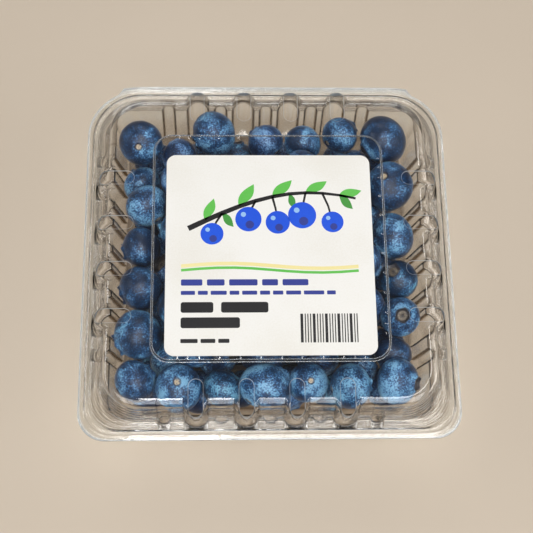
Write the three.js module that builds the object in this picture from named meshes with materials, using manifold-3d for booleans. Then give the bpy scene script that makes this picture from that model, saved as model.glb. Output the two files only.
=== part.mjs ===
// Punnet of blueberries: a shut, clear hinged box with a paper label on its lid, full of berries.
// Millimetres, +Z up. The origin is the centre of the tub's flat foot. The hinge is at the back (+Y).

import * as THREE from 'three';
import { mergeVertices } from 'three/addons/utils/BufferGeometryUtils.js';
import Module from 'manifold-3d';

// Driving dimensions of the box
const RIM_HALF = 56;              // half of the rim's outer width and depth
const RIM_HEIGHT = 23;            // foot to the top of the tub's rim
const LID_RISE = 10.6;            // tub rim to the lid's deck
const PANEL_RISE = 0.8;           // deck to the raised panel under the label
const WALL = 0.5;                 // thickness of the plastic
const SHUT_GAP = 0.3;             // between the tub's rim and the lid's rim
const RIM_CORNER_FRONT = 10.5;    // corner radius of the rim at the front
const RIM_CORNER_BACK = 13;       // corner radius of the rim at the hinge
const CORNER_SEGMENTS = 6;

// The rim's snap bead, as half widths from the centre
const BEAD_OUTER_FOOT = 54.5;
const BEAD_OUTER_CREST = 54;
const BEAD_INNER_CREST = 53.3;
const BEAD_INNER_FOOT = 52.8;
const BEAD_RISE = 1.2;

// The hinge: both rims run out past the back edge as a narrow lip
const HINGE_LIP = 1.4;
const HINGE_HALF_WIDTH = 42.5;
const HINGE_KINK = 1.5;

// The tub
const TUB_HALF_X = 47.6;          // outer half width of the wall at the rim
const TUB_HALF_Y = 49.6;          // outer half depth of the wall at the rim
const TUB_CORNER = 9;
const CORNER_FLUTE = 1.8;         // how far the small flute on each corner stands out
const WALL_DRAFT = 0.2;           // inward lean for each millimetre of depth
const LEDGE_HEIGHT = 8.5;         // foot of the flutes above the ground
const LEDGE_STEP = 0.5;
const FOOT_RISE = 3;              // height of the rounded edge round the foot
const FOOT_MID_RISE = 0.8;
const FOOT_MID_INSET = 1;
const FOOT_INSET = 2.8;           // how far the flat foot lies inside the wall

// The flutes of the tub's walls: places along a side, half width and how far they stand out
const WIDE_FLUTES = { places: [-21.6, -7.2, 7.2, 21.6], half: 3.5, proud: 3.1, segments: 4 };
const NARROW_FLUTES = { places: [-30.9, -14.4, 0, 14.4, 30.9], half: 2.05, proud: 1.7, segments: 3 };

// The lid
const LID_FOOT_HALF = 50.5;       // half width of the lid's wall at the rim
const LID_TOP_HALF = 48.5;        // half width of the lid's wall below the shoulder
const LID_MID_HALF = 47.9;        // half width half-way round the shoulder
const LID_DECK_HALF = 46.4;       // half width of the flat deck
const SHOULDER_DROP = 2;          // height of the rounded shoulder
const SHOULDER_MID_DROP = 0.6;
const LID_CORNER_FOOT = 12;
const LID_CORNER_TOP = 10.5;
const LID_CORNER_DECK = 9;
const PANEL_HALF_X = 34.15;
const PANEL_HALF_Y = 34.95;
const PANEL_CORNER = 5;
const PANEL_SLOPE = 0.5;          // plan width of the step up to the panel
const BULGE_HALF = 3.3;           // bulges of the lid's wall over the wide flutes
const BULGE_FOOT = 1.8;
const BULGE_TOP = 0.25;
const BULGE_SEGMENTS = 3;

// The vents: slots that run from the deck over the shoulder into the wall
const VENT_HALF_WIDTH = 2.1;
const VENT_INNER = 40.4;
const VENT_OUTER = 51;
const VENT_ARC_SEGMENTS = 4;

// The label
const LABEL_HALF_X = 30.6;
const LABEL_HALF_Y = 31.15;
const LABEL_CORNER = 2.8;
const LABEL_OFFSET_Y = -2.8;
const LABEL_THICKNESS = 0.3;
const LABEL_GAP = 0.1;

// The berries that show in the top layer: x, y, height of the centre against the rim, diameter
const SHOWN_BERRIES = [
  [-39.1, 36.6, 0.4, 14.0],
  [-16.8, 40.6, 0.6, 14.8],
  [-26.9, 34.6, -3.4, 11.8],
  [0.4, 39.2, -4.6, 11.6],
  [11.6, 38.3, -2.4, 12.4],
  [23.4, 41.0, -0.6, 11.8],
  [37.0, 38.6, 0.4, 15.6],
  [38.0, 22.6, 0.8, 15.4],
  [38.3, 6.2, 0.6, 14.4],
  [39.6, -7.2, -1.0, 12.0],
  [38.9, -19.2, -1.4, 11.8],
  [37.6, -28.6, -6.4, 11.2],
  [37.4, -39.4, 0.4, 13.6],
  [23.4, -40.6, 0.8, 13.4],
  [10.9, -38.8, -1.2, 12.0],
  [-1.4, -40.4, 0.8, 13.8],
  [-14.2, -40.2, -3.2, 12.6],
  [-27.4, -40.4, 0.8, 14.0],
  [-39.4, -38.6, -0.6, 12.8],
  [-38.4, -24.6, 0.6, 15.0],
  [-38.2, -9.9, 0.0, 13.8],
  [-38.6, 3.4, -0.4, 12.8],
  [-37.2, 15.9, 0.8, 13.4],
  [-39.4, 26.2, -5.2, 12.0],
];

// The rest of the heap: layers of a loose grid that settle round the berries that show
const LAYERS = [
  { columns: 6, rows: 6, halfX: 34, halfY: 37, height: 7.4 },
  { columns: 5, rows: 5, halfX: 31, halfY: 34, height: 15 },
  { columns: 4, rows: 5, halfX: 20, halfY: 25, height: 22 },
];
const BERRY_SMALLEST = 11.4;
const BERRY_SPREAD = 3.6;
const GRID_JITTER = 2.2;
const SETTLE_ROUNDS = 300;
const SETTLE_DROP = 0.05;
const SHOWN_YIELD = 0.15;         // share of a push that a berry with a set place takes
const SHOWN_RETURN = 0.05;        // share of the way back to its place that it takes in a round
const BERRY_CLEARANCE = 0.35;
const BERRY_FLATNESS = 0.9;       // height of a berry against its width
const RANDOM_SEED = 20217;

// The heap's core, which the berries are fused to, from its bottom to its crown. An inset is
// how far the core lies inside the tub's foot.
const CORE_STEPS = [
  { z: 4.5, inset: 8.5 },
  { z: 8, inset: 5.5 },
  { z: 18, inset: 5.5 },
  { z: 23, inset: 11 },
];
const CORE_CORNER = 3;
const SHOW_MARGIN = 2;            // a berry that stands out of the core by more is fused on

const wasm = await Module();
wasm.setup();

// Tub outline sizes at a height above the foot, on the outer face between the flutes
const tubHalfX = (height) => TUB_HALF_X - WALL_DRAFT * (RIM_HEIGHT - height);
const tubHalfY = (height) => TUB_HALF_Y - WALL_DRAFT * (RIM_HEIGHT - height);

// A rounded rectangle as points, counter-clockwise from the right-hand side's front end.
// arcs are flutes or bulges that every side gets. cornerFlute stands out on each corner's
// diagonal. lip is how far a hinge lip runs out at the back, where there is one.
function outline({ halfX, halfY, front, back, arcs = [], cornerFlute = 0, lip = null }) {
  const points = [];
  const corners = [
    { x: halfX - back, y: halfY - back, r: back },
    { x: back - halfX, y: halfY - back, r: back },
    { x: front - halfX, y: front - halfY, r: front },
    { x: halfX - front, y: front - halfY, r: front },
  ];
  const sides = [
    (along, out) => new THREE.Vector2(halfX + out, along),
    (along, out) => new THREE.Vector2(-along, halfY + out),
    (along, out) => new THREE.Vector2(-halfX - out, -along),
    (along, out) => new THREE.Vector2(along, -halfY - out),
  ];
  sides.forEach((side, index) => {
    const hasLip = index === 1 && lip !== null;
    if (hasLip) {
      points.push(side(-HINGE_HALF_WIDTH, 0), side(HINGE_KINK - HINGE_HALF_WIDTH, lip));
    }
    for (const arc of arcs) {
      for (let k = 0; k <= arc.segments; k += 1) {
        const angle = Math.PI * k / arc.segments;
        points.push(side(arc.place - arc.half * Math.cos(angle), arc.proud * Math.sin(angle)));
      }
    }
    if (hasLip) {
      points.push(side(HINGE_HALF_WIDTH - HINGE_KINK, lip), side(HINGE_HALF_WIDTH, 0));
    }
    const corner = corners[index];
    for (let k = 0; k <= CORNER_SEGMENTS; k += 1) {
      const turn = Math.PI / 2 * k / CORNER_SEGMENTS;
      const radius = corner.r + cornerFlute * Math.max(0, Math.cos(3 * (turn - Math.PI / 4)));
      const angle = turn + index * Math.PI / 2;
      points.push(new THREE.Vector2(
        corner.x + radius * Math.cos(angle),
        corner.y + radius * Math.sin(angle),
      ));
    }
  });
  return points;
}

// The flutes of one tub side in order along it, slimmer by the wall on the inner face
function tubArcs(slimmer) {
  return [WIDE_FLUTES, NARROW_FLUTES]
    .flatMap((flute) => flute.places.map((place) => (
      { place, half: flute.half - slimmer, proud: flute.proud, segments: flute.segments }
    )))
    .sort((a, b) => a.place - b.place);
}

function lidArcs(proud, slimmer) {
  return WIDE_FLUTES.places.map((place) => (
    { place, half: BULGE_HALF - slimmer, proud, segments: BULGE_SEGMENTS }
  ));
}

// Gathers the faces of one closed shell, ring by ring. Each ring lies at one height.
class Shell {
  constructor() {
    this.positions = [];
  }

  triangle(a, b, c) {
    this.positions.push(...a, ...b, ...c);
  }

  // A flat face inside a ring, or between a ring and a smaller ring at the same height
  flat(ring, facesUp, hole = null) {
    const loops = hole ? [ring.points, hole.points] : [ring.points];
    const vertices = loops.flat().map((p) => [p.x, p.y, ring.z]);
    const faces = THREE.ShapeUtils.triangulateShape(loops[0], loops.slice(1));
    for (const face of faces) {
      const [a, b, c] = face.map((i) => vertices[i]);
      const turn = (b[0] - a[0]) * (c[1] - a[1]) - (b[1] - a[1]) * (c[0] - a[0]);
      if ((turn > 0) === facesUp) {
        this.triangle(a, b, c);
      } else {
        this.triangle(a, c, b);
      }
    }
  }

  // A band between two rings of as many points. It faces outwards where upper is above lower.
  band(lower, upper) {
    const count = lower.points.length;
    for (let i = 0; i < count; i += 1) {
      const j = (i + 1) % count;
      const a = [lower.points[i].x, lower.points[i].y, lower.z];
      const b = [lower.points[j].x, lower.points[j].y, lower.z];
      const c = [upper.points[j].x, upper.points[j].y, upper.z];
      const d = [upper.points[i].x, upper.points[i].y, upper.z];
      this.triangle(a, b, c);
      this.triangle(a, c, d);
    }
  }

  bands(rings) {
    rings.slice(1).forEach((ring, i) => this.band(rings[i], ring));
  }

  geometry() {
    const geometry = new THREE.BufferGeometry();
    geometry.setAttribute('position', new THREE.Float32BufferAttribute(this.positions, 3));
    return mergeVertices(geometry, 1e-4);
  }
}

function rimRing(half, z, lip = null) {
  const inset = RIM_HALF - half;
  const points = outline({
    halfX: half, halfY: half, front: RIM_CORNER_FRONT - inset, back: RIM_CORNER_BACK - inset, lip,
  });
  return { z, points };
}

// Adds a rim with its snap bead to a shell. The tub and the lid have the same rim profile.
// base is the height of the rim's lower face. wallUnder and wallOver are the rings where a
// wall meets the rim's two faces.
function addRim(shell, base, wallUnder, wallOver) {
  const beads = [
    { half: BEAD_INNER_FOOT, rise: 0 },
    { half: BEAD_INNER_CREST, rise: BEAD_RISE },
    { half: BEAD_OUTER_CREST, rise: BEAD_RISE },
    { half: BEAD_OUTER_FOOT, rise: 0 },
  ];
  const under = beads.map((bead) => rimRing(bead.half, base + bead.rise));
  const over = beads.map((bead) => rimRing(bead.half, base + WALL + bead.rise)).reverse();
  const edge = [rimRing(RIM_HALF, base, HINGE_LIP), rimRing(RIM_HALF, base + WALL, HINGE_LIP)];
  shell.flat(under[0], false, wallUnder);
  shell.bands(under);
  shell.flat(edge[0], false, under.at(-1));
  shell.bands(edge);
  shell.flat(edge[1], true, over[0]);
  shell.bands(over);
  shell.flat(over.at(-1), true, wallOver);
}

// A ring of the tub's wall. inner is how far it lies inside the outer face.
function tubRing(z, height, inner, fluted, inset = 0) {
  const points = outline({
    halfX: tubHalfX(height) - inner - inset,
    halfY: tubHalfY(height) - inner - inset,
    front: TUB_CORNER - inset / 2,
    back: TUB_CORNER - inset / 2,
    arcs: fluted ? tubArcs(inner * 0.9) : [],
    cornerFlute: fluted ? CORNER_FLUTE : 0,
  });
  return { z, points };
}

function buildTub() {
  const shell = new Shell();
  const footRings = (lift, inner) => [
    tubRing(lift, FOOT_RISE, inner, false, FOOT_INSET),
    tubRing(FOOT_MID_RISE + lift, FOOT_RISE, inner, false, FOOT_MID_INSET),
    tubRing(FOOT_RISE + lift, FOOT_RISE, inner, false, LEDGE_STEP),
    tubRing(LEDGE_HEIGHT + lift, LEDGE_HEIGHT, inner, false, LEDGE_STEP),
  ];
  const outside = footRings(0, 0);
  const inside = footRings(WALL, WALL);
  const rimBase = RIM_HEIGHT - WALL;
  const outerFlutes = [
    tubRing(LEDGE_HEIGHT, LEDGE_HEIGHT, 0, true),
    tubRing(rimBase, RIM_HEIGHT, 0, true),
  ];
  const innerFlutes = [
    tubRing(LEDGE_HEIGHT + WALL, LEDGE_HEIGHT, WALL, true),
    tubRing(RIM_HEIGHT, RIM_HEIGHT, WALL, true),
  ];
  shell.flat(outside[0], false);
  shell.bands(outside);
  shell.flat(outerFlutes[0], false, outside.at(-1));
  shell.bands(outerFlutes);
  addRim(shell, rimBase, outerFlutes[1], innerFlutes[1]);
  shell.bands([...innerFlutes].reverse());
  shell.flat(innerFlutes[0], true, inside.at(-1));
  shell.bands([...inside].reverse());
  shell.flat(inside[0], true);
  return shell.geometry();
}

// The lid's rings from the wall's foot up over the shoulder to the deck, inside or outside
function lidWallRings(rimTop, deck, inner) {
  const ring = (half, corner, proud, z) => ({
    z,
    points: outline({
      halfX: half - inner, halfY: half - inner, front: corner, back: corner, arcs: lidArcs(proud, inner * 0.9),
    }),
  });
  return [
    ring(LID_FOOT_HALF, LID_CORNER_FOOT, BULGE_FOOT, rimTop),
    ring(LID_TOP_HALF, LID_CORNER_TOP, BULGE_TOP, deck - SHOULDER_DROP),
    ring(LID_MID_HALF, LID_CORNER_TOP, BULGE_TOP, deck - SHOULDER_MID_DROP),
    ring(LID_DECK_HALF, LID_CORNER_DECK, BULGE_TOP, deck),
  ];
}

function lidPanelRings(deck, inner) {
  const ring = (grow, z) => ({
    z,
    points: outline({
      halfX: PANEL_HALF_X + grow - inner,
      halfY: PANEL_HALF_Y + grow - inner,
      front: PANEL_CORNER,
      back: PANEL_CORNER,
    }),
  });
  return [ring(PANEL_SLOPE, deck), ring(0, deck + PANEL_RISE)];
}

function lidShell() {
  const shell = new Shell();
  const rimBase = RIM_HEIGHT + SHUT_GAP;
  const deck = RIM_HEIGHT + LID_RISE;
  const outerWall = lidWallRings(rimBase + WALL, deck, 0);
  const innerWall = lidWallRings(rimBase, deck - WALL, WALL);
  const outerPanel = lidPanelRings(deck, 0);
  const innerPanel = lidPanelRings(deck - WALL, WALL);
  addRim(shell, rimBase, innerWall[0], outerWall[0]);
  shell.bands(outerWall);
  shell.flat(outerWall.at(-1), true, outerPanel[0]);
  shell.bands(outerPanel);
  shell.flat(outerPanel[1], true);
  shell.flat(innerPanel[1], false);
  shell.bands([...innerPanel].reverse());
  shell.flat(innerWall.at(-1), false, innerPanel[0]);
  shell.bands([...innerWall].reverse());
  return shell.geometry();
}

// One vent as an upright slot, along +X before it is turned to its side
function ventGeometry() {
  const shape = new THREE.Shape();
  const inner = VENT_INNER + VENT_HALF_WIDTH;
  const outer = VENT_OUTER - VENT_HALF_WIDTH;
  shape.absarc(outer, 0, VENT_HALF_WIDTH, -Math.PI / 2, Math.PI / 2, false);
  shape.absarc(inner, 0, VENT_HALF_WIDTH, Math.PI / 2, 1.5 * Math.PI, false);
  const depth = LID_RISE + PANEL_RISE;
  const geometry = new THREE.ExtrudeGeometry(shape, {
    depth, bevelEnabled: false, curveSegments: VENT_ARC_SEGMENTS,
  });
  return geometry.translate(0, 0, RIM_HEIGHT + SHUT_GAP + 2 * WALL);
}

function toManifold(geometry) {
  const bare = geometry.clone();
  bare.deleteAttribute('normal');
  bare.deleteAttribute('uv');
  const merged = mergeVertices(bare, 1e-4);
  return new wasm.Manifold(new wasm.Mesh({
    numProp: 3,
    vertProperties: new Float32Array(merged.attributes.position.array),
    triVerts: new Uint32Array(merged.index.array),
  }));
}

function toGeometry(manifold) {
  const mesh = manifold.getMesh();
  const geometry = new THREE.BufferGeometry();
  geometry.setAttribute('position', new THREE.BufferAttribute(mesh.vertProperties, 3));
  geometry.setIndex(new THREE.BufferAttribute(mesh.triVerts, 1));
  geometry.computeVertexNormals();
  return geometry;
}

function buildLid() {
  let lid = toManifold(lidShell());
  for (let side = 0; side < 4; side += 1) {
    for (const place of WIDE_FLUTES.places) {
      const vent = ventGeometry().translate(0, place, 0).rotateZ(side * Math.PI / 2);
      lid = lid.subtract(toManifold(vent));
    }
  }
  return toGeometry(lid);
}

function buildLabel() {
  const points = outline({
    halfX: LABEL_HALF_X, halfY: LABEL_HALF_Y, front: LABEL_CORNER, back: LABEL_CORNER,
  });
  return new THREE.ExtrudeGeometry(new THREE.Shape(points), { depth: LABEL_THICKNESS, bevelEnabled: false });
}

// Repeatable random numbers from 0 to 1
function makeRandom(seed) {
  let state = seed;
  return () => {
    state = (state * 16807) % 2147483647;
    return state / 2147483647;
  };
}

// Places the berries that show, then lays the rest below and between them in loose layers
function startHeap(random) {
  const shown = SHOWN_BERRIES.map(([x, y, rise, diameter]) => (
    { x, y, z: RIM_HEIGHT + rise, r: diameter / 2, place: [x, y, RIM_HEIGHT + rise] }
  ));
  const rest = [];
  for (const layer of LAYERS) {
    for (let row = 0; row < layer.rows; row += 1) {
      for (let column = 0; column < layer.columns; column += 1) {
        rest.push({
          x: layer.halfX * (2 * column / (layer.columns - 1) - 1) + GRID_JITTER * (random() - 0.5),
          y: layer.halfY * (2 * row / (layer.rows - 1) - 1) + GRID_JITTER * (random() - 0.5),
          z: layer.height + GRID_JITTER * (random() - 0.5),
          r: (BERRY_SMALLEST + BERRY_SPREAD * random()) / 2,
          place: null,
        });
      }
    }
  }
  return [...shown, ...rest];
}

// Pushes two overlapping berries apart; one with a set place gives way less
function separate(a, b) {
  const dx = b.x - a.x;
  const dy = b.y - a.y;
  const dz = b.z - a.z;
  const reach = a.r + b.r;
  const squared = dx * dx + dy * dy + dz * dz;
  if (squared >= reach * reach) {
    return;
  }
  const distance = Math.sqrt(squared);
  const push = (reach - distance) / distance;
  let shareA = 0.5;
  if (a.place && !b.place) {
    shareA = SHOWN_YIELD;
  } else if (b.place && !a.place) {
    shareA = 1 - SHOWN_YIELD;
  }
  const shareB = 1 - shareA;
  a.x -= dx * push * shareA;
  a.y -= dy * push * shareA;
  a.z -= dz * push * shareA;
  b.x += dx * push * shareB;
  b.y += dy * push * shareB;
  b.z += dz * push * shareB;
}

// Keeps a berry off the floor, the leaning walls, their round corners and the lid
function contain(berry) {
  const side = berry.r + WALL + LEDGE_STEP + BERRY_CLEARANCE;
  const low = berry.r + WALL + BERRY_CLEARANCE;
  const high = RIM_HEIGHT + LID_RISE - WALL - BERRY_CLEARANCE - berry.r;
  const limitX = tubHalfX(Math.min(berry.z, RIM_HEIGHT)) - side;
  const limitY = tubHalfY(Math.min(berry.z, RIM_HEIGHT)) - side;
  berry.z = Math.min(Math.max(berry.z, low), high);
  berry.x = Math.min(Math.max(berry.x, -limitX), limitX);
  berry.y = Math.min(Math.max(berry.y, -limitY), limitY);
  const room = Math.max(TUB_CORNER - side, 0);
  const pastX = Math.abs(berry.x) - (limitX - room);
  const pastY = Math.abs(berry.y) - (limitY - room);
  const past = Math.sqrt(pastX * pastX + pastY * pastY);
  if (pastX > 0 && pastY > 0 && past > room) {
    const back = 1 - room / past;
    berry.x -= Math.sign(berry.x) * pastX * back;
    berry.y -= Math.sign(berry.y) * pastY * back;
  }
}

// One step of settling: loose berries sink, and the others move back towards their places
function sink(berry) {
  if (berry.place) {
    berry.x += (berry.place[0] - berry.x) * SHOWN_RETURN;
    berry.y += (berry.place[1] - berry.y) * SHOWN_RETURN;
    berry.z += (berry.place[2] - berry.z) * SHOWN_RETURN;
  } else {
    berry.z -= SETTLE_DROP;
  }
}

function settleHeap() {
  const berries = startHeap(makeRandom(RANDOM_SEED));
  for (let round = 0; round < SETTLE_ROUNDS; round += 1) {
    berries.forEach(sink);
    for (let i = 0; i < berries.length; i += 1) {
      for (let j = i + 1; j < berries.length; j += 1) {
        separate(berries[i], berries[j]);
      }
    }
    berries.forEach(contain);
  }
  return berries;
}

// Whether a berry can be seen through one of the tub's walls
function isNearWall(berry) {
  const side = CORE_STEPS[1].inset - SHOW_MARGIN;
  const nearX = Math.abs(berry.x) + berry.r > tubHalfX(0) - side;
  const nearY = Math.abs(berry.y) + berry.r > tubHalfY(0) - side;
  return nearX || nearY;
}

const isHigh = (berry) => berry.z + berry.r > CORE_STEPS.at(-1).z + SHOW_MARGIN;
const isLow = (berry) => berry.z - berry.r < CORE_STEPS[0].z - SHOW_MARGIN;
const shows = (berry) => isNearWall(berry) || isHigh(berry) || isLow(berry);

// A berry in few faces: a ball flattened along a direction of its own. One that shows only
// through the floor has the fewest.
function berryGeometry(berry, random) {
  const geometry = isNearWall(berry) || isHigh(berry)
    ? new THREE.IcosahedronGeometry(berry.r, 1)
    : new THREE.DodecahedronGeometry(berry.r);
  geometry.scale(1, 1, BERRY_FLATNESS);
  const axis = new THREE.Vector3(random() - 0.5, random() - 0.5, random() - 0.5).normalize();
  const turn = new THREE.Quaternion().setFromUnitVectors(new THREE.Vector3(0, 0, 1), axis);
  geometry.applyQuaternion(turn);
  return geometry.translate(berry.x, berry.y, berry.z);
}

function coreGeometry() {
  const rings = CORE_STEPS.map((step) => ({
    z: step.z,
    points: outline({
      halfX: tubHalfX(0) - step.inset,
      halfY: tubHalfY(0) - step.inset,
      front: CORE_CORNER,
      back: CORE_CORNER,
    }),
  }));
  const shell = new Shell();
  shell.flat(rings[0], false);
  shell.bands(rings);
  shell.flat(rings.at(-1), true);
  return shell.geometry();
}

function buildBerries() {
  const random = makeRandom(RANDOM_SEED);
  const berries = settleHeap().filter(shows);
  const solids = berries.map((berry) => toManifold(berryGeometry(berry, random)));
  const heap = wasm.Manifold.union([toManifold(coreGeometry()), ...solids]);
  return toGeometry(heap);
}

function makeMesh(name, geometry, colour, roughness, opacity = 1) {
  const material = new THREE.MeshStandardMaterial({
    color: colour, roughness, metalness: 0, opacity, transparent: opacity < 1,
  });
  const mesh = new THREE.Mesh(geometry, material);
  mesh.name = name;
  return mesh;
}

const tub = makeMesh('tub', buildTub(), 0xdfe3e2, 0.08, 0.25);
const berries = makeMesh('berries', buildBerries(), 0x33507e, 0.55);
const lid = makeMesh('lid', buildLid(), 0xe4e8e7, 0.08, 0.25);
const label = makeMesh('label', buildLabel(), 0xf0eee8, 0.45);
label.position.set(0, LABEL_OFFSET_Y, RIM_HEIGHT + LID_RISE + PANEL_RISE + LABEL_GAP);

const lidGroup = new THREE.Group();
lidGroup.add(lid, label);

const punnet = new THREE.Group();
punnet.add(tub, berries, lidGroup);

export default punnet;
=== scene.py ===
"""Punnet of blueberries: a shut, clear, hinged box with a printed label on its lid, full of berries.

Lengths are in metres, in the model's own frame: the origin is the middle of the tub's foot, +Z is
up and the hinge lies at the back, at +Y. The heap's rule alone counts in millimetres.
"""

import logging
import math
import random
from dataclasses import dataclass, replace
from enum import Enum
from functools import cached_property

import bmesh
import bpy
import numpy as np
from mathutils import Matrix, Vector


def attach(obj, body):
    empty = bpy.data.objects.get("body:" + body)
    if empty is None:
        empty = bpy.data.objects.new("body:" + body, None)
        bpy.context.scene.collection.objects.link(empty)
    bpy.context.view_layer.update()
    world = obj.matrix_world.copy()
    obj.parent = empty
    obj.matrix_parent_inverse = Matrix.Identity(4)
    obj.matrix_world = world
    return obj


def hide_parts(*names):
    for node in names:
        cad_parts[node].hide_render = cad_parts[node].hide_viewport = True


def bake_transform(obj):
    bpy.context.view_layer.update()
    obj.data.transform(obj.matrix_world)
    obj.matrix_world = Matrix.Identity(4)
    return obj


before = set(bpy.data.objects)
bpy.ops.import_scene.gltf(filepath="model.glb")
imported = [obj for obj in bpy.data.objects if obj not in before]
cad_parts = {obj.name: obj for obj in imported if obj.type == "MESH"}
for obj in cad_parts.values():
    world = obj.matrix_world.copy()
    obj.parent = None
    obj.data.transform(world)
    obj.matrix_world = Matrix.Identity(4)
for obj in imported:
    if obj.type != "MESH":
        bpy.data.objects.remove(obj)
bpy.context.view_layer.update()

logging.basicConfig(level=logging.INFO, format="%(message)s")
log = logging.getLogger("punnet")

MM = 0.001
QUARTER = math.pi / 2
Colour = tuple[float, float, float]
Point = tuple[float, float]


class Body(Enum):
    """The two bodies that the hinge joins."""

    BASE = "base"
    LID = "lid"


class Slot(Enum):
    """The material slots that a piece takes its finish from."""

    TUB = "clear_tub"
    BERRY = "berry_skin"
    LID = "clear_lid"
    LABEL = "label_paper"


class Mark(Enum):
    """What a berry turns towards the viewer."""

    NONE = 0
    CALYX = 1
    SCAR = -1


def blend_between(start: float, end: float, share: float) -> float:
    """The value that lies share of the way from start to end."""
    return start + (end - start) * share


def smooth_share(share: float) -> float:
    """A share from 0 to 1, eased at both ends."""
    return share * share * (3 - 2 * share)


def rounded_bump(across: float, roundness: float, flare: float) -> float:
    """The height of a rounded rib with eased feet.

    Args:
        across: The place across the rib, from -1 to 1.
        roundness: How flat the crest is.
        flare: How softly the feet run out.

    Returns:
        The height as a share of the full height.
    """
    return max(0.0, 1 - abs(across) ** roundness) ** flare


# Node trees and meshes


class NodeBook:
    """Adds nodes to one material and joins them."""

    def __init__(self, name: str) -> None:
        """Starts an empty node tree under that material name.

        Args:
            name: The material's name.
        """
        self.material = bpy.data.materials.new(name)
        self.material.use_nodes = True
        self.material.node_tree.nodes.clear()

    def add(self, kind: str, inputs: dict | None = None, **settings: object) -> bpy.types.Node:
        """Adds one node.

        Args:
            kind: The node's type without its ShaderNode prefix.
            inputs: Sockets by name or number, each with a value or with a socket to link.
            settings: The node's own options.

        Returns:
            The new node.
        """
        node = self.material.node_tree.nodes.new("ShaderNode" + kind)
        for option, value in settings.items():
            setattr(node, option, value)
        for key, value in (inputs or {}).items():
            if isinstance(value, bpy.types.NodeSocket):
                self.material.node_tree.links.new(value, node.inputs[key])
            else:
                node.inputs[key].default_value = value
        return node

    def sums(self, operation: str, first: object, second: object) -> bpy.types.NodeSocket:
        """The result of one Math node over two values or sockets."""
        return self.add("Math", {0: first, 1: second}, operation=operation).outputs[0]

    def vectors(self, operation: str, *inputs: object, output: str = "Vector") -> bpy.types.NodeSocket:
        """The result of one Vector Math node."""
        return self.add("VectorMath", dict(enumerate(inputs)), operation=operation).outputs[output]

    def attribute(self, name: str, output: str = "Fac") -> bpy.types.NodeSocket:
        """An attribute of the mesh, by its name."""
        return self.add("Attribute", attribute_name=name).outputs[output]

    def eased(self, value: object, low: float, high: float) -> bpy.types.NodeSocket:
        """A value that runs smoothly from 0 at low to 1 at high."""
        inputs = {"Value": value, "From Min": low, "From Max": high}
        return self.add("MapRange", inputs, interpolation_type="SMOOTHSTEP").outputs["Result"]

    def mixed(self, share: object, first: object, second: object, way: str = "MIX") -> bpy.types.NodeSocket:
        """Two colours mixed by a share. A Mix node takes them in sockets 6 and 7 and gives output 2.

        Args:
            share: How much of the second colour is taken.
            first: A colour or a socket.
            second: A colour or a socket.
            way: The node's way of mixing.

        Returns:
            The mixture.
        """
        inputs = {0: share, 6: self._colour(first), 7: self._colour(second)}
        return self.add("Mix", inputs, data_type="RGBA", blend_type=way).outputs[2]

    @staticmethod
    def _colour(value: object) -> object:
        """A colour with its alpha, or the socket that it already is."""
        return (*value, 1.0) if isinstance(value, tuple) else value

    def noise(
        self, vector: object, scale: float, detail: float, roughness: float = 0.5,
    ) -> bpy.types.NodeSocket:
        """Noise of a scale, as a value about 0.5."""
        inputs = {"Vector": vector, "Scale": scale, "Detail": detail, "Roughness": roughness}
        return self.add("TexNoise", inputs).outputs["Fac"]

    def bump(self, height: object, distance: float, under: object = None) -> bpy.types.NodeSocket:
        """Surface relief of a depth in metres, over the relief under it if there is any."""
        below = {} if under is None else {"Normal": under}
        return self.add("Bump", {"Height": height, "Distance": distance, **below}).outputs["Normal"]

    def finish(self, surface: bpy.types.NodeSocket) -> bpy.types.Material:
        """Joins a surface to the output and gives the material."""
        self.add("OutputMaterial", {"Surface": surface})
        return self.material


def only(items: list, kind: type) -> list:
    """The items of one kind."""
    return [item for item in items if isinstance(item, kind)]


def linked_object(name: str, data: bpy.types.ID) -> bpy.types.Object:
    """Makes an object and links it into the scene.

    Args:
        name: The object's name.
        data: Its mesh, lamp or camera.

    Returns:
        The new object.
    """
    made = bpy.data.objects.new(name, data)
    bpy.context.scene.collection.objects.link(made)
    return made


def mesh_object(mesh: bmesh.types.BMesh, name: str, material: bpy.types.Material) -> bpy.types.Object:
    """Turns a bmesh into a smooth object at the origin.

    Args:
        mesh: The bmesh, which is freed.
        name: The piece's name.
        material: Its finish.

    Returns:
        The new object.
    """
    data = bpy.data.meshes.new(name)
    mesh.to_mesh(data)
    mesh.free()
    data.materials.append(material)
    data.shade_smooth()
    return linked_object(name, data)


def apply_modifiers(piece: bpy.types.Object) -> None:
    """Puts the result of a piece's modifiers into its mesh.

    Args:
        piece: The piece, which loses its modifiers.
    """
    bpy.context.view_layer.update()
    graph = bpy.context.evaluated_depsgraph_get()
    made = bpy.data.meshes.new_from_object(piece.evaluated_get(graph))
    made.name = piece.name
    piece.modifiers.clear()
    piece.data = made


def report(piece: bpy.types.Object) -> None:
    """Logs a piece's name and size."""
    log.info("%s: %d faces", piece.name, len(piece.data.polygons))


# Outlines and lofts


@dataclass(frozen=True)
class Flute:
    """A rounded rib that stands out of every side of an outline."""

    place: float
    half: float
    proud: float
    steps: int
    flare: float = 1.1
    top: float = 1.0
    ease: float = 0.8

    ROUNDNESS = 2.2
    # Where along a rib, near its feet, painted shade marks the fold, and how far either side
    FOLD_SHARE = 0.965
    FOLD_REACH = 0.05

    def samples(self) -> list[tuple[float, float, float]]:
        """Places along the side, each with how far the rib stands out and how much painted shade marks its
        fold.

        Returns:
            The samples, in order along the side.
        """
        shares = [math.sin(QUARTER * (2 * k / self.steps - 1)) for k in range(self.steps + 1)]
        found = []
        for share in (-self.flare, *shares, self.flare):
            fold = 1.0 if abs(abs(share) - self.FOLD_SHARE) < self.FOLD_REACH else 0.0
            rise = self.proud * rounded_bump(share, self.ROUNDNESS, self.ease)
            found.append((self.place + self.half * share, rise, fold))
        return found


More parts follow.
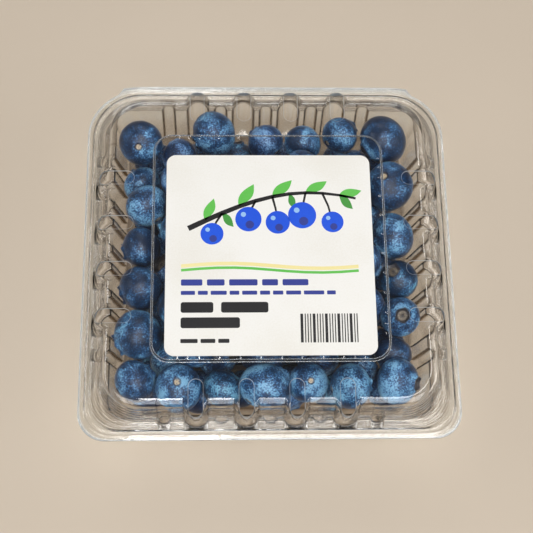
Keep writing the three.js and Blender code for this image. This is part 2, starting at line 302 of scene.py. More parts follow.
@dataclass(frozen=True)
class Outline:
    """A rounded square. Its sides may have flutes, its corners a flute each and its back a lip."""

    half_x: float
    half_y: float
    front: float
    back: float
    flutes: tuple[Flute, ...] = ()
    relief: float = 1.0
    corner_flute: float = 0.0
    lip: float = 0.0
    corner_steps: int = 14

    END_SHARE = 0.97
    ROOM_SHARE = 0.93
    LIP_STRAIGHT = 38 * MM
    LIP_END = 46 * MM
    LIP_TAPER = 11.0
    # How strongly the flutes' relief turns into painted shade along their folds
    FOLD_GAIN = 1.5
    CORNER_WAVE = 3

    def points(self) -> list[Point]:
        """The outline's points, counter-clockwise from the front end of the right-hand side.

        Returns:
            The points of the four sides and corners.
        """
        found = []
        for quarter in range(4):
            turn = Matrix.Rotation(quarter * QUARTER, 2)
            local = self._side(quarter) + self._corner(quarter)
            found += [tuple(turn @ Vector(point)) for point in local]
        if not self.lip:
            return found
        return [(x, self.lip_reach(x)) if y > 0 and abs(x) < self.LIP_END else (x, y) for x, y in found]

    def lip_reach(self, x: float) -> float:
        """How far back the hinge lip reaches, which tapers towards its ends."""
        return self.half_y + self.lip - self.LIP_TAPER * max(0.0, abs(x) - self.LIP_STRAIGHT) ** 2

    def folds(self) -> list[float]:
        """How much painted shade marks the outline's folds at each of its points.

        Returns:
            A share from 0 to 1 for each point.
        """
        share = min(1.0, self.relief * self.FOLD_GAIN)
        ribs = [fold * share for flute in self.flutes for _, _, fold in flute.samples()]
        return ([0.0] + ribs + [0.0] * (self.corner_steps + 2)) * 4

    def _reach(self, quarter: int) -> tuple[float, float]:
        """How far out a side lies, and half its length corner to corner.

        Args:
            quarter: The side, counted counter-clockwise from the right.

        Returns:
            The two lengths.
        """
        if quarter % 2:
            return self.half_y, self.half_x
        return self.half_x, self.half_y

    def _radii(self, quarter: int) -> tuple[float, float]:
        """The corner radii before and after a side."""
        order = (self.front, self.back, self.back, self.front, self.front)
        return order[quarter], order[quarter + 1]

    def _side(self, quarter: int) -> list[Point]:
        """The points of one side, turned so that it lies at the right.

        Args:
            quarter: The side, counted counter-clockwise from the right.

        Returns:
            The points from front to back.
        """
        out, half = self._reach(quarter)
        before, after = (half - radius for radius in self._radii(quarter))
        span = max((f.place + f.half * f.flare for f in self.flutes), default=0.0)
        room = min(before, after) * self.ROOM_SHARE
        squeeze = min(1.0, room / span) if span else 1.0
        points = [(out, -before * self.END_SHARE)]
        for flute in self.flutes:
            points += [(out + proud * self.relief, along * squeeze) for along, proud, _ in flute.samples()]
        return points + [(out, after * self.END_SHARE)]

    def _corner(self, quarter: int) -> list[Point]:
        """The points of the corner after a side, turned with that side.

        Args:
            quarter: The side, counted counter-clockwise from the right.

        Returns:
            The points round the corner.
        """
        out, half = self._reach(quarter)
        radius = self._radii(quarter)[1]
        points = []
        for k in range(self.corner_steps + 1):
            turn = QUARTER * k / self.corner_steps
            wave = max(0.0, math.cos(self.CORNER_WAVE * (turn - QUARTER / 2)))
            reach = radius + wave * self.corner_flute * self.relief
            points.append((out - radius + reach * math.cos(turn), half - radius + reach * math.sin(turn)))
        return points


def points_between(first: list[Point], second: list[Point], share: float) -> list[Point]:
    """The outline that lies share of the way from the first outline to the second."""
    pairs = zip(first, second)
    return [(blend_between(a, c, share), blend_between(b, d, share)) for (a, b), (c, d) in pairs]


class RingLoft:
    """A sheet that grows ring by ring, each ring extruded from the last and set on its outline."""

    def __init__(self, points: list[Point], height: float) -> None:
        """Starts with a filled outline at a height.

        Args:
            points: The outline.
            height: Its height.
        """
        self.mesh = bmesh.new()
        # A mark at each point: painted shade along a fold above nought, a painted glint below it
        self.fold_shade_glint = self.mesh.verts.layers.float.new("fold_shade_glint")
        self.ring = [self.mesh.verts.new((x, y, height)) for x, y in points]
        pairs = zip(self.ring, self.ring[1:] + self.ring[:1])
        self.edges = [self.mesh.edges.new(pair) for pair in pairs]
        bmesh.ops.edgeloop_fill(self.mesh, edges=self.edges)

    def grow(self, points: list[Point], height: float, folds: list[float] | None = None) -> None:
        """Adds the next ring.

        Args:
            points: The ring's outline, with as many points as the first.
            height: The ring's height.
            folds: How dark the painted shade along a fold is at each point, from 0 to 1; below nought, how
                pale a painted glint is.
        """
        grown = bmesh.ops.extrude_edge_only(self.mesh, edges=self.edges)["geom"]
        fresh = set(only(grown, bmesh.types.BMVert))
        ring = []
        for vert, (x, y), fold in zip(self.ring, points, folds or [0.0] * len(points)):
            linked = (edge.other_vert(vert) for edge in vert.link_edges)
            follower = next(other for other in linked if other in fresh)
            follower.co = (x, y, height)
            follower[self.fold_shade_glint] = fold
            ring.append(follower)
        self.edges = [edge for edge in only(grown, bmesh.types.BMEdge) if fresh.issuperset(edge.verts)]
        self.ring = ring

    def mark_edge(self, fold: float) -> None:
        """Sets the last ring's mark: painted shade above nought, a painted glint below it."""
        for vert in self.ring:
            vert[self.fold_shade_glint] = fold

    def sheet(self, middle_faces_up: bool) -> bmesh.types.BMesh:
        """The finished sheet, with its faces all on the side that shows.

        Args:
            middle_faces_up: Whether the face in the middle looks up.

        Returns:
            The sheet's bmesh.
        """
        bmesh.ops.recalc_face_normals(self.mesh, faces=self.mesh.faces)
        self.mesh.faces.ensure_lookup_table()
        if (self.mesh.faces[0].normal.z > 0) != middle_faces_up:
            bmesh.ops.reverse_faces(self.mesh, faces=self.mesh.faces)
        return self.mesh


# Finishes


@dataclass(frozen=True)
class ClearPlastic:
    """Thin clear plastic, formed over a mould: a little wavy, with fine drawn lines along its rim. Its colour
    carries painted shade towards the foot, at grazing angles and along folds, and painted glints on marked
    edges.
    """

    name: str
    tint: Colour = (0.965, 0.968, 0.962)
    # Painted shade: the colour the plastic darkens to towards the foot, where the box's inside lies in shade
    deep: Colour = (0.82, 0.785, 0.745)
    # Painted shade: the dark brown the plastic turns at grazing angles
    edge: Colour = (0.40, 0.305, 0.215)
    # Painted shade: the dark colour painted along folds
    fold: Colour = (0.20, 0.14, 0.09)
    # Painted glint: the pale colour painted on marked edges
    glint: Colour = (0.72, 0.74, 0.74)
    roughness: float = 0.03
    ior: float = 1.57
    wave_scale: float = 75
    wave_depth: float = 0.05 * MM
    ripple_scale: float = 480
    ripple_depth: float = 0.02 * MM
    line_scale: float = 1150
    line_depth: float = 0.05 * MM
    line_drift: float = 0.06
    line_span: Point = (1 * MM, 3 * MM)
    corner_middle: float = 45.5 * MM
    # Heights where the painted shade towards the foot starts and where it is full
    foot_shade_span: Point = (21 * MM, 12 * MM)
    # Facing values where the painted shade at grazing angles starts and where it is full
    grazing_shade_span: Point = (0.45, 1.0)
    # How strongly the painted glint shows on a marked edge
    glint_share: float = 0.45

    def _across(self, book: NodeBook, place: bpy.types.NodeSocket) -> bpy.types.NodeSocket:
        """How far out a point lies on the rings round the box.

        Args:
            book: The material's nodes.
            place: The point in the object's own frame.

        Returns:
            The distance, which is nought inside the corners' middles.
        """
        middle = (self.corner_middle, self.corner_middle, 1.0)
        folded = book.vectors("ABSOLUTE", place)
        kept = book.vectors("MAXIMUM", book.vectors("SUBTRACT", folded, middle), (0.0, 0.0, 0.0))
        return book.vectors("LENGTH", kept, output="Value")

    def _relief(self, book: NodeBook, place: bpy.types.NodeSocket) -> bpy.types.NodeSocket:
        """Broad waves and fine ripples everywhere, with drawn lines that run round the rim.

        Args:
            book: The material's nodes.
            place: The point in the object's own frame.

        Returns:
            The surface's normal.
        """
        across = self._across(book, place)
        along = book.add("VectorMath", {0: place, "Scale": self.line_drift}, operation="SCALE").outputs[0]
        rings = book.add("CombineXYZ", {"X": across, "Y": across, "Z": 0.0}).outputs[0]
        drawn = book.noise(book.vectors("ADD", rings, along), self.line_scale, 2)
        lines = book.sums("MULTIPLY", drawn, book.eased(across, *self.line_span))
        waves = book.bump(book.noise(place, self.wave_scale, 2), self.wave_depth)
        ripples = book.bump(book.noise(place, self.ripple_scale, 3), self.ripple_depth, waves)
        return book.bump(lines, self.line_depth, ripples)

    def material(self) -> bpy.types.Material:
        """The plastic, which lets lamps through to what it holds.

        Returns:
            The material.
        """
        book = NodeBook(self.name)
        place = book.add("TexCoord").outputs["Object"]
        facing = book.add("LayerWeight", {"Blend": 0.5}).outputs["Facing"]
        # Painted shade along folds above nought, painted glint below it
        fold_shade_glint = book.attribute("fold_shade_glint")
        height = book.add("SeparateXYZ", {"Vector": place}).outputs["Z"]
        # Painted shade: darker towards the foot; lamps that pass through take the same colour
        body = book.mixed(book.eased(height, *self.foot_shade_span), self.tint, self.deep)
        # Painted shade: dark brown at grazing angles
        grazing_shaded = book.mixed(book.eased(facing, *self.grazing_shade_span), body, self.edge)
        # Painted glint where the fold mark is below nought
        pale = book.sums("MAXIMUM", book.sums("MULTIPLY", fold_shade_glint, -1.0), 0.0)
        clear = book.add("BsdfPrincipled", {
            "Base Color": book.mixed(book.sums("MAXIMUM", fold_shade_glint, 0.0), grazing_shaded, self.fold),
            "Roughness": self.roughness,
            "IOR": self.ior,
            "Transmission Weight": 1.0,
            "Normal": self._relief(book, place),
        })
        # Painted glint: a pale diffuse mixed in on marked edges
        milky = book.add("BsdfDiffuse", {"Color": (*self.glint, 1.0)})
        glint = book.sums("MULTIPLY", pale, self.glint_share)
        shown = book.add("MixShader", {0: glint, 1: clear.outputs[0], 2: milky.outputs[0]})
        lamps = book.add("BsdfTransparent", {"Color": body})
        shadow = book.add("LightPath").outputs["Is Shadow Ray"]
        inputs = {0: shadow, 1: shown.outputs[0], 2: lamps.outputs[0]}
        return book.finish(book.add("MixShader", inputs).outputs[0])


@dataclass(frozen=True)
class CutEdge:
    """The milky edge where the plastic is punched."""

    name: str = "cut_edge"
    tint: Colour = (0.50, 0.52, 0.54)
    shade: Colour = (0.40, 0.42, 0.44)
    clearness: float = 0.35
    roughness: float = 0.35
    ior: float = 1.5
    grain_scale: float = 900
    grain_depth: float = 0.01 * MM

    def material(self) -> bpy.types.Material:
        """The frosted plastic of a cut.

        Returns:
            The material.
        """
        book = NodeBook(self.name)
        place = book.add("TexCoord").outputs["Object"]
        grain = book.noise(place, self.grain_scale, 2)
        milky = book.add("BsdfPrincipled", {
            "Base Color": book.mixed(grain, self.tint, self.shade),
            "Roughness": self.roughness,
            "IOR": self.ior,
            "Transmission Weight": self.clearness,
            "Normal": book.bump(grain, self.grain_depth),
        })
        return book.finish(milky.outputs[0])


@dataclass(frozen=True)
class BerrySkin:
    """Dark blue skin under a pale waxy bloom that is grained, patchy and rubbed."""

    name: str = "berry_skin"
    bare: Colour = (0.004, 0.012, 0.036)
    deep: Colour = (0.009, 0.031, 0.090)
    middle: Colour = (0.026, 0.088, 0.212)
    pale: Colour = (0.160, 0.310, 0.485)
    cool: Colour = (0.80, 1.06, 0.96)
    warm: Colour = (1.06, 0.96, 1.05)
    flesh: Colour = (0.42, 0.33, 0.21)
    husk: Colour = (0.020, 0.017, 0.022)
    grain_scale: float = 2.1
    grain_gain: float = 2.9
    grain_depth: float = 0.05 * MM
    patch_scale: float = 0.2
    patch_gain: float = 3.0
    speck_scale: float = 2.0
    speck_middle: float = 0.45
    speck_gain: float = 0.45
    speck_relief: float = 0.3
    dry_span: Point = (0.25, 0.6)
    roughness: Point = (0.30, 0.55)
    ior: float = 1.38
    coat: float = 0.18
    coat_roughness: float = 0.28

    @staticmethod
    def _swing(book: NodeBook, pattern: bpy.types.NodeSocket, gain: float) -> bpy.types.NodeSocket:
        """A pattern about 0.5 turned into more or less bloom."""
        return book.sums("MULTIPLY", book.sums("SUBTRACT", pattern, 0.5), gain)

    def material(self) -> bpy.types.Material:
        """The skin. Its pattern turns with each berry, in millimetres of its own.

        Returns:
            The material.
        """
        book = NodeBook(self.name)
        skin = book.attribute("skin", "Vector")
        grains = book.noise(skin, self.grain_scale, 3, 0.65)
        patches = book.noise(skin, self.patch_scale, 3)
        specks = book.add("TexVoronoi", {"Vector": skin, "Scale": self.speck_scale}).outputs["Distance"]
        grained = self._swing(book, grains, self.grain_gain)
        patched = self._swing(book, patches, self.patch_gain)
        dotted = book.sums("MULTIPLY", book.sums("SUBTRACT", self.speck_middle, specks), self.speck_gain)
        amount = book.sums("ADD", book.sums("ADD", grained, patched), dotted)
        amount = book.sums("ADD", amount, book.attribute("bloom"))
        ramp = book.add("ValToRGB", {"Fac": amount})
        self._set_ramp(ramp.color_ramp)
        tones = book.mixed(book.attribute("tone"), self.cool, self.warm)
        blue = book.mixed(1.0, ramp.outputs["Color"], tones, "MULTIPLY")
        husky = book.mixed(book.attribute("husk"), blue, self.husk)
        dry = book.sums("MULTIPLY", book.attribute("flesh"), book.eased(grains, *self.dry_span))
        height = book.sums("ADD", grains, book.sums("MULTIPLY", specks, self.speck_relief))
        span = {"Value": amount, "To Min": self.roughness[0], "To Max": self.roughness[1]}
        skin_shader = book.add("BsdfPrincipled", {
            "Base Color": book.mixed(dry, husky, self.flesh),
            "Roughness": book.add("MapRange", span).outputs["Result"],
            "IOR": self.ior,
            "Coat Weight": self.coat,
            "Coat Roughness": self.coat_roughness,
            "Normal": book.bump(height, self.grain_depth),
        })
        return book.finish(skin_shader.outputs[0])

    def _set_ramp(self, ramp: bpy.types.ColorRamp) -> None:
        """Colours the ramp from bare skin to full bloom.

        Args:
            ramp: The ramp, which has two stops at first.
        """
        stops = ((0.0, self.bare), (0.3, self.deep), (0.62, self.middle), (1.0, self.pale))
        for _ in stops[2:]:
            ramp.elements.new(0.5)
        for element, (place, colour) in zip(ramp.elements, stops):
            element.position = place
            element.color = (*colour, 1.0)


@dataclass(frozen=True)
class CoatedPaper:
    """Smooth label paper: a colour with faint fibres, under a soft gloss."""

    name: str
    colour: Colour
    shade: Colour
    roughness: float = 0.42
    ior: float = 1.45
    cloud_scale: float = 40
    fibre_scale: float = 1900
    fibre_share: float = 0.6
    fibre_depth: float = 0.006 * MM
    mottle_span: Point = (0.6, 1.05)

    def material(self) -> bpy.types.Material:
        """The paper or an ink on it.

        Returns:
            The material.
        """
        book = NodeBook(self.name)
        place = book.add("TexCoord").outputs["Object"]
        cloud = book.noise(place, self.cloud_scale, 3)
        fibres = book.noise(place, self.fibre_scale, 4, 0.6)
        mottle = book.sums("ADD", cloud, book.sums("MULTIPLY", fibres, self.fibre_share))
        paper = book.add("BsdfPrincipled", {
            "Base Color": book.mixed(book.eased(mottle, *self.mottle_span), self.colour, self.shade),
            "Roughness": self.roughness,
            "IOR": self.ior,
            "Normal": book.bump(fibres, self.fibre_depth),
        })
        return book.finish(paper.outputs[0])


# The box


@dataclass(frozen=True)
class BoxSizes:
    """Sizes that the tub and the lid share."""

    sheet: float = 0.3 * MM
    rim_half: float = 55.97 * MM
    rim_height: float = 23 * MM
    shut_gap: float = 0.3 * MM
    lid_rise: float = 10.6 * MM
    corner_front: float = 8 * MM
    corner_back: float = 16 * MM
    corner_front_gain: float = 0.45
    corner_back_loss: float = 0.6
    bead_inner: float = 52.8 * MM
    bead_outer: float = 54.5 * MM
    bead_steps: int = 10
    bead_roundness: float = 2.4
    bead_flare: float = 1.15
    rim_start: float = 50.85 * MM
    rim_crease: float = 55.2 * MM
    rim_slope: float = 0.05
    hinge_lip: float = 1.4 * MM
    # Painted glint on the rim's outer edge, as a fold mark below nought
    edge_glint: float = -0.5
    wide_places: tuple[float, ...] = (-21.6 * MM, -7.2 * MM, 7.2 * MM, 21.6 * MM)
    narrow_places: tuple[float, ...] = (-30.9 * MM, -14.4 * MM, 0.0, 14.4 * MM, 30.9 * MM)

    @property
    def deck(self) -> float:
        """Height of the lid's flat deck."""
        return self.rim_height + self.lid_rise

    def rim(self, half: float, flutes: tuple[Flute, ...], lip: float = 0.0) -> Outline:
        """The rim's outline at a half width.

        Args:
            half: Half the outline's width.
            flutes: The flutes whose points it keeps, laid flat.
            lip: How far the hinge lip stands out at the back.

        Returns:
            The outline.
        """
        inset = self.rim_half - half
        front = self.corner_front + self.corner_front_gain * inset
        back = self.corner_back - self.corner_back_loss * inset
        return Outline(half, half, front, back, flutes, relief=0.0, lip=lip)

    def droop(self, half: float) -> float:
        """How far the rim hangs down at a half width."""
        return self.rim_slope * max(0.0, half - self.rim_start)

    def bead(self, rise: float) -> list[Point]:
        """Half widths over the snap bead, each with its height above the rim.

        Args:
            rise: The bead's height.

        Returns:
            The pairs, from the inside outwards.
        """
        found = []
        for k in range(self.bead_steps + 1):
            share = k / self.bead_steps
            half = blend_between(self.bead_inner, self.bead_outer, share)
            bump = rounded_bump(2 * share - 1, self.bead_roundness, self.bead_flare)
            found.append((half, rise * bump - self.droop(half)))
        return found


@dataclass(frozen=True)
class Tub:
    """The clear tub: a flat foot, leaning fluted walls and a rim with a snap bead."""

    sizes: BoxSizes
    half_x: float = 47.6 * MM
    half_y: float = 49.6 * MM
    corner: float = 9 * MM
    corner_flute: float = 1.8 * MM
    draft: float = 0.2
    wide: Flute = Flute(0.0, 3.5 * MM, 3.1 * MM, 12)
    narrow: Flute = Flute(0.0, 2.1 * MM, 1.7 * MM, 8)
    foot_inset: float = 2.8 * MM
    foot_rise: float = 3 * MM
    step: float = 0.5 * MM
    flute_foot: float = 8.5 * MM
    flute_full: float = 10.2 * MM
    fillet: float = 0.3 * MM
    bead_rise: float = 0.8 * MM
    wall_heights: tuple[float, ...] = (13 * MM, 16 * MM, 19 * MM)
    top_relief: float = 0.91
    middle_inset: float = 1 * MM
    # Painted shade along the foot's and the ledge's folds and the rim's fillet
    ledge_fold: float = 0.6
    ridges: int = 3
    ridge_rise: float = 0.08 * MM
    # Painted shade along every other ridge of the rim
    ridge_fold: float = 0.4
    round_steps: int = 5

    @cached_property
    def flutes(self) -> tuple[Flute, ...]:
        """The flutes of one side, in order along it.

        Returns:
            The wide and the narrow flutes.
        """
        kinds = [(self.wide, self.sizes.wide_places), (self.narrow, self.sizes.narrow_places)]
        found = [replace(kind, place=place) for kind, places in kinds for place in places]
        return tuple(sorted(found, key=lambda flute: flute.place))

    def outline(self, height: float, inset: float, relief: float) -> Outline:
        """The wall's outline.

        Args:
            height: The height above the foot.
            inset: How far it lies inside the leaning wall.
            relief: The share of their depth that the flutes have there.

        Returns:
            The outline.
        """
        lean = self.draft * (self.sizes.rim_height - height) + inset
        radius = self.corner - max(inset, 0.0) / 2
        return Outline(
            self.half_x - lean, self.half_y - lean, radius, radius, self.flutes, relief, self.corner_flute,
        )

    def rows(self) -> list[tuple[float, float, float]]:
        """Height, inset and relief of the wall's rings, from the foot up to the rim's fillet.

        Returns:
            One entry for each ring.
        """
        turns = [QUARTER * k / self.round_steps for k in range(self.round_steps + 1)]
        edge = self.foot_inset - self.step
        foot = [
            (self.foot_rise * (1 - math.cos(t)), self.step + edge * (1 - math.sin(t)), 0.0)
            for t in turns
        ]
        rise = self.flute_full - self.flute_foot
        ledge = [
            (self.flute_foot + rise * (1 - math.cos(t)), self.step * (1 - math.sin(t)), math.sin(t))
            for t in turns
        ]
        base = self.sizes.rim_height - self.sizes.sheet
        wall = [(height, 0.0, 1.0) for height in self.wall_heights]
        wall.append((base - 3 * self.fillet, 0.0, self.top_relief))
        top = [
            (base - self.fillet * (1 - math.sin(t)), -self.fillet * (1 - math.cos(t)), self.top_relief)
            for t in turns
        ]
        return foot + ledge + wall + top

    def build(self, plastic: bpy.types.Material) -> bpy.types.Object:
        """The tub as one thin closed shell.

        Args:
            plastic: The sheet's finish.

        Returns:
            The tub.
        """
        loft = RingLoft(self.outline(0.0, self.foot_inset + self.middle_inset, 0.0).points(), 0.0)
        rows = self.rows()
        for height, inset, relief in rows:
            outline = self.outline(height, inset, relief)
            folds = outline.folds()
            # Painted shade all round the foot, the ledge and the rim's fillet
            if inset < 0 or height in (0.0, self.flute_foot):
                folds = [self.ledge_fold] * len(folds)
            loft.grow(outline.points(), height, folds)
        base = self.sizes.rim_height - self.sizes.sheet
        arch = self.outline(*rows[-1]).points()
        bead = self.sizes.bead(self.bead_rise)
        inner = self.sizes.rim(self.sizes.bead_inner, self.flutes).points()
        steps = 2 * self.ridges
        for k in range(1, steps):
            share = k / steps
            rise = self.ridge_rise * (k % 2) * (1 - share) + bead[0][1] * share
            # Painted shade on every other ridge ring
            folds = [self.ridge_fold * (k % 2)] * len(arch)
            loft.grow(points_between(arch, inner, share), base + rise, folds)
        for half, rise in bead:
            loft.grow(self.sizes.rim(half, self.flutes).points(), base + rise)
        for half, lip in ((self.sizes.rim_crease, 0.0), (self.sizes.rim_half, self.sizes.hinge_lip)):
            loft.grow(self.sizes.rim(half, self.flutes, lip).points(), base - self.sizes.droop(half))
        # Painted glint on the rim's outer edge
        loft.mark_edge(self.sizes.edge_glint)
        tub = mesh_object(loft.sheet(middle_faces_up=False), "tub_shell", plastic)
        thicken(tub, self.sizes.sheet)
        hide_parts("tub")
        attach(tub, Body.BASE.value)
        return tub


def thicken(piece: bpy.types.Object, thickness: float) -> None:
    """Gives an open sheet its thickness, away from the side that shows.

    Args:
        piece: The sheet.
        thickness: Its thickness.
    """
    solid = piece.modifiers.new("thickness", "SOLIDIFY")
    solid.thickness = thickness
    solid.offset = -1.0
    solid.use_even_offset = True
    solid.use_quality_normals = True
    apply_modifiers(piece)


def weigh_normals(piece: bpy.types.Object) -> None:
    """Shades a shell by its larger faces, so that small ones beside a flat part don't bend its gloss.

    Args:
        piece: The shell.
    """
    weighing = piece.modifiers.new("normals", "WEIGHTED_NORMAL")
    weighing.keep_sharp = True
    apply_modifiers(piece)


@dataclass(frozen=True)
class Lid:
    """The clear lid: a raised panel, a flat deck, a rounded shoulder, vents and a rim."""

    sizes: BoxSizes
    panel_x: float = 34.15 * MM
    panel_y: float = 34.95 * MM
    panel_corner: float = 5 * MM
    panel_rise: float = 0.8 * MM
    panel_slope: float = 0.8 * MM
    deck_half: float = 45.7 * MM
    top_half: float = 48.5 * MM
    foot_half: float = 50.5 * MM
    corner_deck: float = 9 * MM
    corner_top: float = 10.5 * MM
    corner_foot: float = 12 * MM
    shoulder: float = 2 * MM
    bulge: Flute = Flute(0.0, 3.6 * MM, 1.7 * MM, 12, top=1.5, ease=1.0)
    dimple: Flute = Flute(0.0, 1.9 * MM, 0.9 * MM, 8, top=0.1)
    dimple_places: tuple[float, ...] = (-30.9 * MM, 30.9 * MM)
    terraces: int = 5
    terrace_rows: int = 6
    terrace_depth: float = 9 * MM
    riser: float = 0.66
    ridges: int = 5
    ridge_rise: float = 0.1 * MM
    fillet: float = 0.35 * MM
    bead_rise: float = 1.2 * MM
    # Painted shade along the shoulder, the foot's fillet, the bulges' feet and the rim's ridges; over the
    # panel's step, painted glints below nought and painted shade above it
    shoulder_fold: float = 0.3
    foot_fold: float = 0.25
    rib_fold: float = 0.3
    ridge_fold: float = 0.5
    panel_folds: tuple[float, ...] = (0.0, -0.6, 0.0, 0.9, 0.5, 0.0, -0.6, 0.0)
    vent_half: float = 2.1 * MM
    vent_inner: float = 40.4 * MM
    vent_outer: float = 51 * MM
    vent_foot: float = 24.3 * MM
    vent_round: float = 0.11 * MM
    vent_segments: int = 32
    round_steps: int = 7
    fillet_steps: int = 4
    ridge_steps: int = 4
    deck_margin: float = 1 * MM
    panel_margin: float = 1.5 * MM
    panel_lead: float = 0.1 * MM
    panel_trail: float = 0.15 * MM
    rim_shelf: float = 55 * MM
    rim_step: float = 0.1 * MM
    sharp_angle: float = math.radians(48)
    merge_angle: float = math.radians(0.5)
    level_share: float = 0.9999

    def bulges(self, down: float) -> tuple[Flute, ...]:
        """The bulges and dimples of one side at a share of the way down the wall, in order along it.

        Args:
            down: The share, from 0 at the deck to 1 at the rim.

        Returns:
            The bulges and dimples.
        """
        kinds = [(self.bulge, self.sizes.wide_places), (self.dimple, self.dimple_places)]
        found = [
            replace(kind, place=place, proud=kind.proud * blend_between(kind.top, 1.0, down))
            for kind, places in kinds for place in places
        ]
        return tuple(sorted(found, key=lambda flute: flute.place))

    def square(self, half: float, corner: float, down: float) -> Outline:
        """An outline of the deck or of the wall, at a share of the way down it."""
        return Outline(half, half, corner, corner, self.bulges(down))

    def panel(self, grow: float) -> Outline:
        """The panel's outline, grown by a width."""
        corner = self.panel_corner + grow
        return Outline(self.panel_x + grow, self.panel_y + grow, corner, corner, self.bulges(1.0), 0.0)

    def panel_rows(self) -> list[tuple[Outline, float]]:
        """Rings over the step from the panel down to the deck.

        Returns:
            Each ring's outline and height.
        """
        rows = []
        for k in range(self.round_steps + 1):
            share = k / self.round_steps
            drop = self.panel_rise * smooth_share(share)
            grow = self.panel_slope * share - self.panel_lead
            rows.append((self.panel(grow), self.sizes.deck + self.panel_rise - drop))
        return rows + [(self.panel(self.panel_slope + self.panel_trail), self.sizes.deck)]

    def wall_rows(self) -> list[tuple[Outline, float, float]]:
        """Rings from the deck over the shoulder and down the wall to the rim, each with its painted shade
        along a fold.

        Returns:
            Each ring's outline, height and painted shade.
        """
        deck = self.sizes.deck
        rows = [(self.square(self.deck_half - self.deck_margin, self.corner_deck, 0.0), deck, 0.0)]
        for k in range(self.round_steps + 1):
            turn = QUARTER * k / self.round_steps
            half = self.deck_half + (self.top_half - self.deck_half) * math.sin(turn)
            corner = blend_between(self.corner_deck, self.corner_top, math.sin(turn))
            height = deck - self.shoulder * (1 - math.cos(turn))
            fold = self.shoulder_fold * (k == self.round_steps)
            rows.append((self.square(half, corner, 0.0), height, fold))
        rim_top = self.sizes.rim_height + self.sizes.shut_gap + self.sizes.sheet
        top, foot = deck - self.shoulder, rim_top + self.fillet
        for k in range(1, self.terraces * self.terrace_rows + 1):
            level, part = divmod(k / self.terrace_rows, 1)
            stepped = (level + smooth_share(max(0.0, (part - self.riser) / (1 - self.riser)))) / self.terraces
            down = k / self.terrace_rows / self.terraces
            half = blend_between(self.top_half, self.foot_half, down)
            corner = blend_between(self.corner_top, self.corner_foot, down)
            corner += self.terrace_depth * (down - stepped)
            rows.append((self.square(half, corner, down), blend_between(top, foot, down), 0.0))
        for k in range(self.fillet_steps + 1):
            turn = QUARTER * k / self.fillet_steps
            half = self.foot_half + self.fillet * (1 - math.cos(turn))
            height = foot - self.fillet * math.sin(turn)
            fold = self.foot_fold * (2 * k == self.fillet_steps)
            rows.append((self.square(half, self.corner_foot, 1.0), height, fold))
        return rows

    def rim_rows(self) -> list[tuple[Outline, float]]:
        """Rings over the bead and out to the rim's edge.

        Returns:
            Each ring's outline and height.
        """
        top = self.sizes.rim_height + self.sizes.shut_gap + self.sizes.sheet
        rim = self.sizes.rim
        bulges = self.bulges(1.0)
        rows = [(rim(half, bulges), top + rise) for half, rise in self.sizes.bead(self.bead_rise)]
        edges = (
            (self.rim_shelf, 0.0, 0.0),
            (self.sizes.rim_crease, self.rim_step, 0.0),
            (self.sizes.rim_half, self.rim_step, self.sizes.hinge_lip),
        )
        for half, step, lip in edges:
            rows.append((rim(half, bulges, lip), top - step - self.sizes.droop(half)))
        return rows

    def vent_cutter(self) -> bmesh.types.BMesh:
        """Sixteen upright slots with round ends, four over each side.

        Returns:
            The slots, with the cut's finish.
        """
        cutter = bmesh.new()
        inner, outer = self.vent_inner + self.vent_half, self.vent_outer - self.vent_half
        for quarter in range(4):
            for place in self.sizes.wide_places:
                spot = Matrix.Rotation(quarter * QUARTER, 4, "Z") @ Matrix.Translation((inner, place, 0.0))
                circle = bmesh.ops.create_circle(
                    cutter, cap_ends=True, segments=self.vent_segments, radius=self.vent_half,
                )
                far = [vert for vert in circle["verts"] if vert.co.x > 0]
                bmesh.ops.translate(cutter, verts=far, vec=(outer - inner, 0, 0))
                faces = list({face for vert in circle["verts"] for face in vert.link_faces})
                grown = bmesh.ops.extrude_face_region(cutter, geom=faces)["geom"]
                raised = only(grown, bmesh.types.BMVert)
                bmesh.ops.translate(cutter, verts=raised, vec=(0, 0, self.sizes.lid_rise + self.panel_rise))
                spot.translation.z = self.vent_foot
                bmesh.ops.transform(cutter, matrix=spot, verts=circle["verts"] + raised)
        bmesh.ops.recalc_face_normals(cutter, faces=cutter.faces)
        for face in cutter.faces:
            face.material_index = 1
        return cutter

    def merge_deck(self, lid: bpy.types.Object) -> None:
        """Joins the deck's flat faces, so that no thin sliver is left beside a vent.

        Args:
            lid: The thick lid.
        """
        mesh = bmesh.new()
        mesh.from_mesh(lid.data)
        level = {face for face in mesh.faces if abs(face.normal.z) > self.level_share}
        reach = self.panel_rise / 2
        flat = {face for face in level if abs(face.calc_center_median().z - self.sizes.deck) < reach}
        edges = [edge for edge in mesh.edges if flat.issuperset(edge.link_faces)]
        bmesh.ops.dissolve_limit(mesh, angle_limit=self.merge_angle, edges=edges)
        mesh.to_mesh(lid.data)
        mesh.free()

    def round_vents(self, lid: bpy.types.Object) -> None:
        """Rounds the vents' upper edges, which show as pale outlines.

        Args:
            lid: The lid with its slots cut.
        """
        mesh = bmesh.new()
        mesh.from_mesh(lid.data)
        edges = []
        for edge in mesh.edges:
            cut = [face for face in edge.link_faces if face.material_index == 1]
            kept = [face for face in edge.link_faces if face.material_index == 0]
            if len(cut) == 1 and len(kept) == 1:
                middle = kept[0].calc_center_median()
                outward = Vector((middle.x, middle.y, self.foot_half))
                if kept[0].normal.dot(outward) > 0:
                    edges.append(edge)
        bmesh.ops.bevel(
            mesh, geom=edges, offset=self.vent_round, segments=2, profile=0.5, affect="EDGES", material=1,
        )
        mesh.to_mesh(lid.data)
        mesh.free()

    def sheet(self) -> bmesh.types.BMesh:
        """The lid's sheet, from the panel out to the rim's edge.

        Returns:
            The open sheet.
        """
        loft = RingLoft(self.panel(-self.panel_margin).points(), self.sizes.deck + self.panel_rise)
        wall, rim = self.wall_rows(), self.rim_rows()
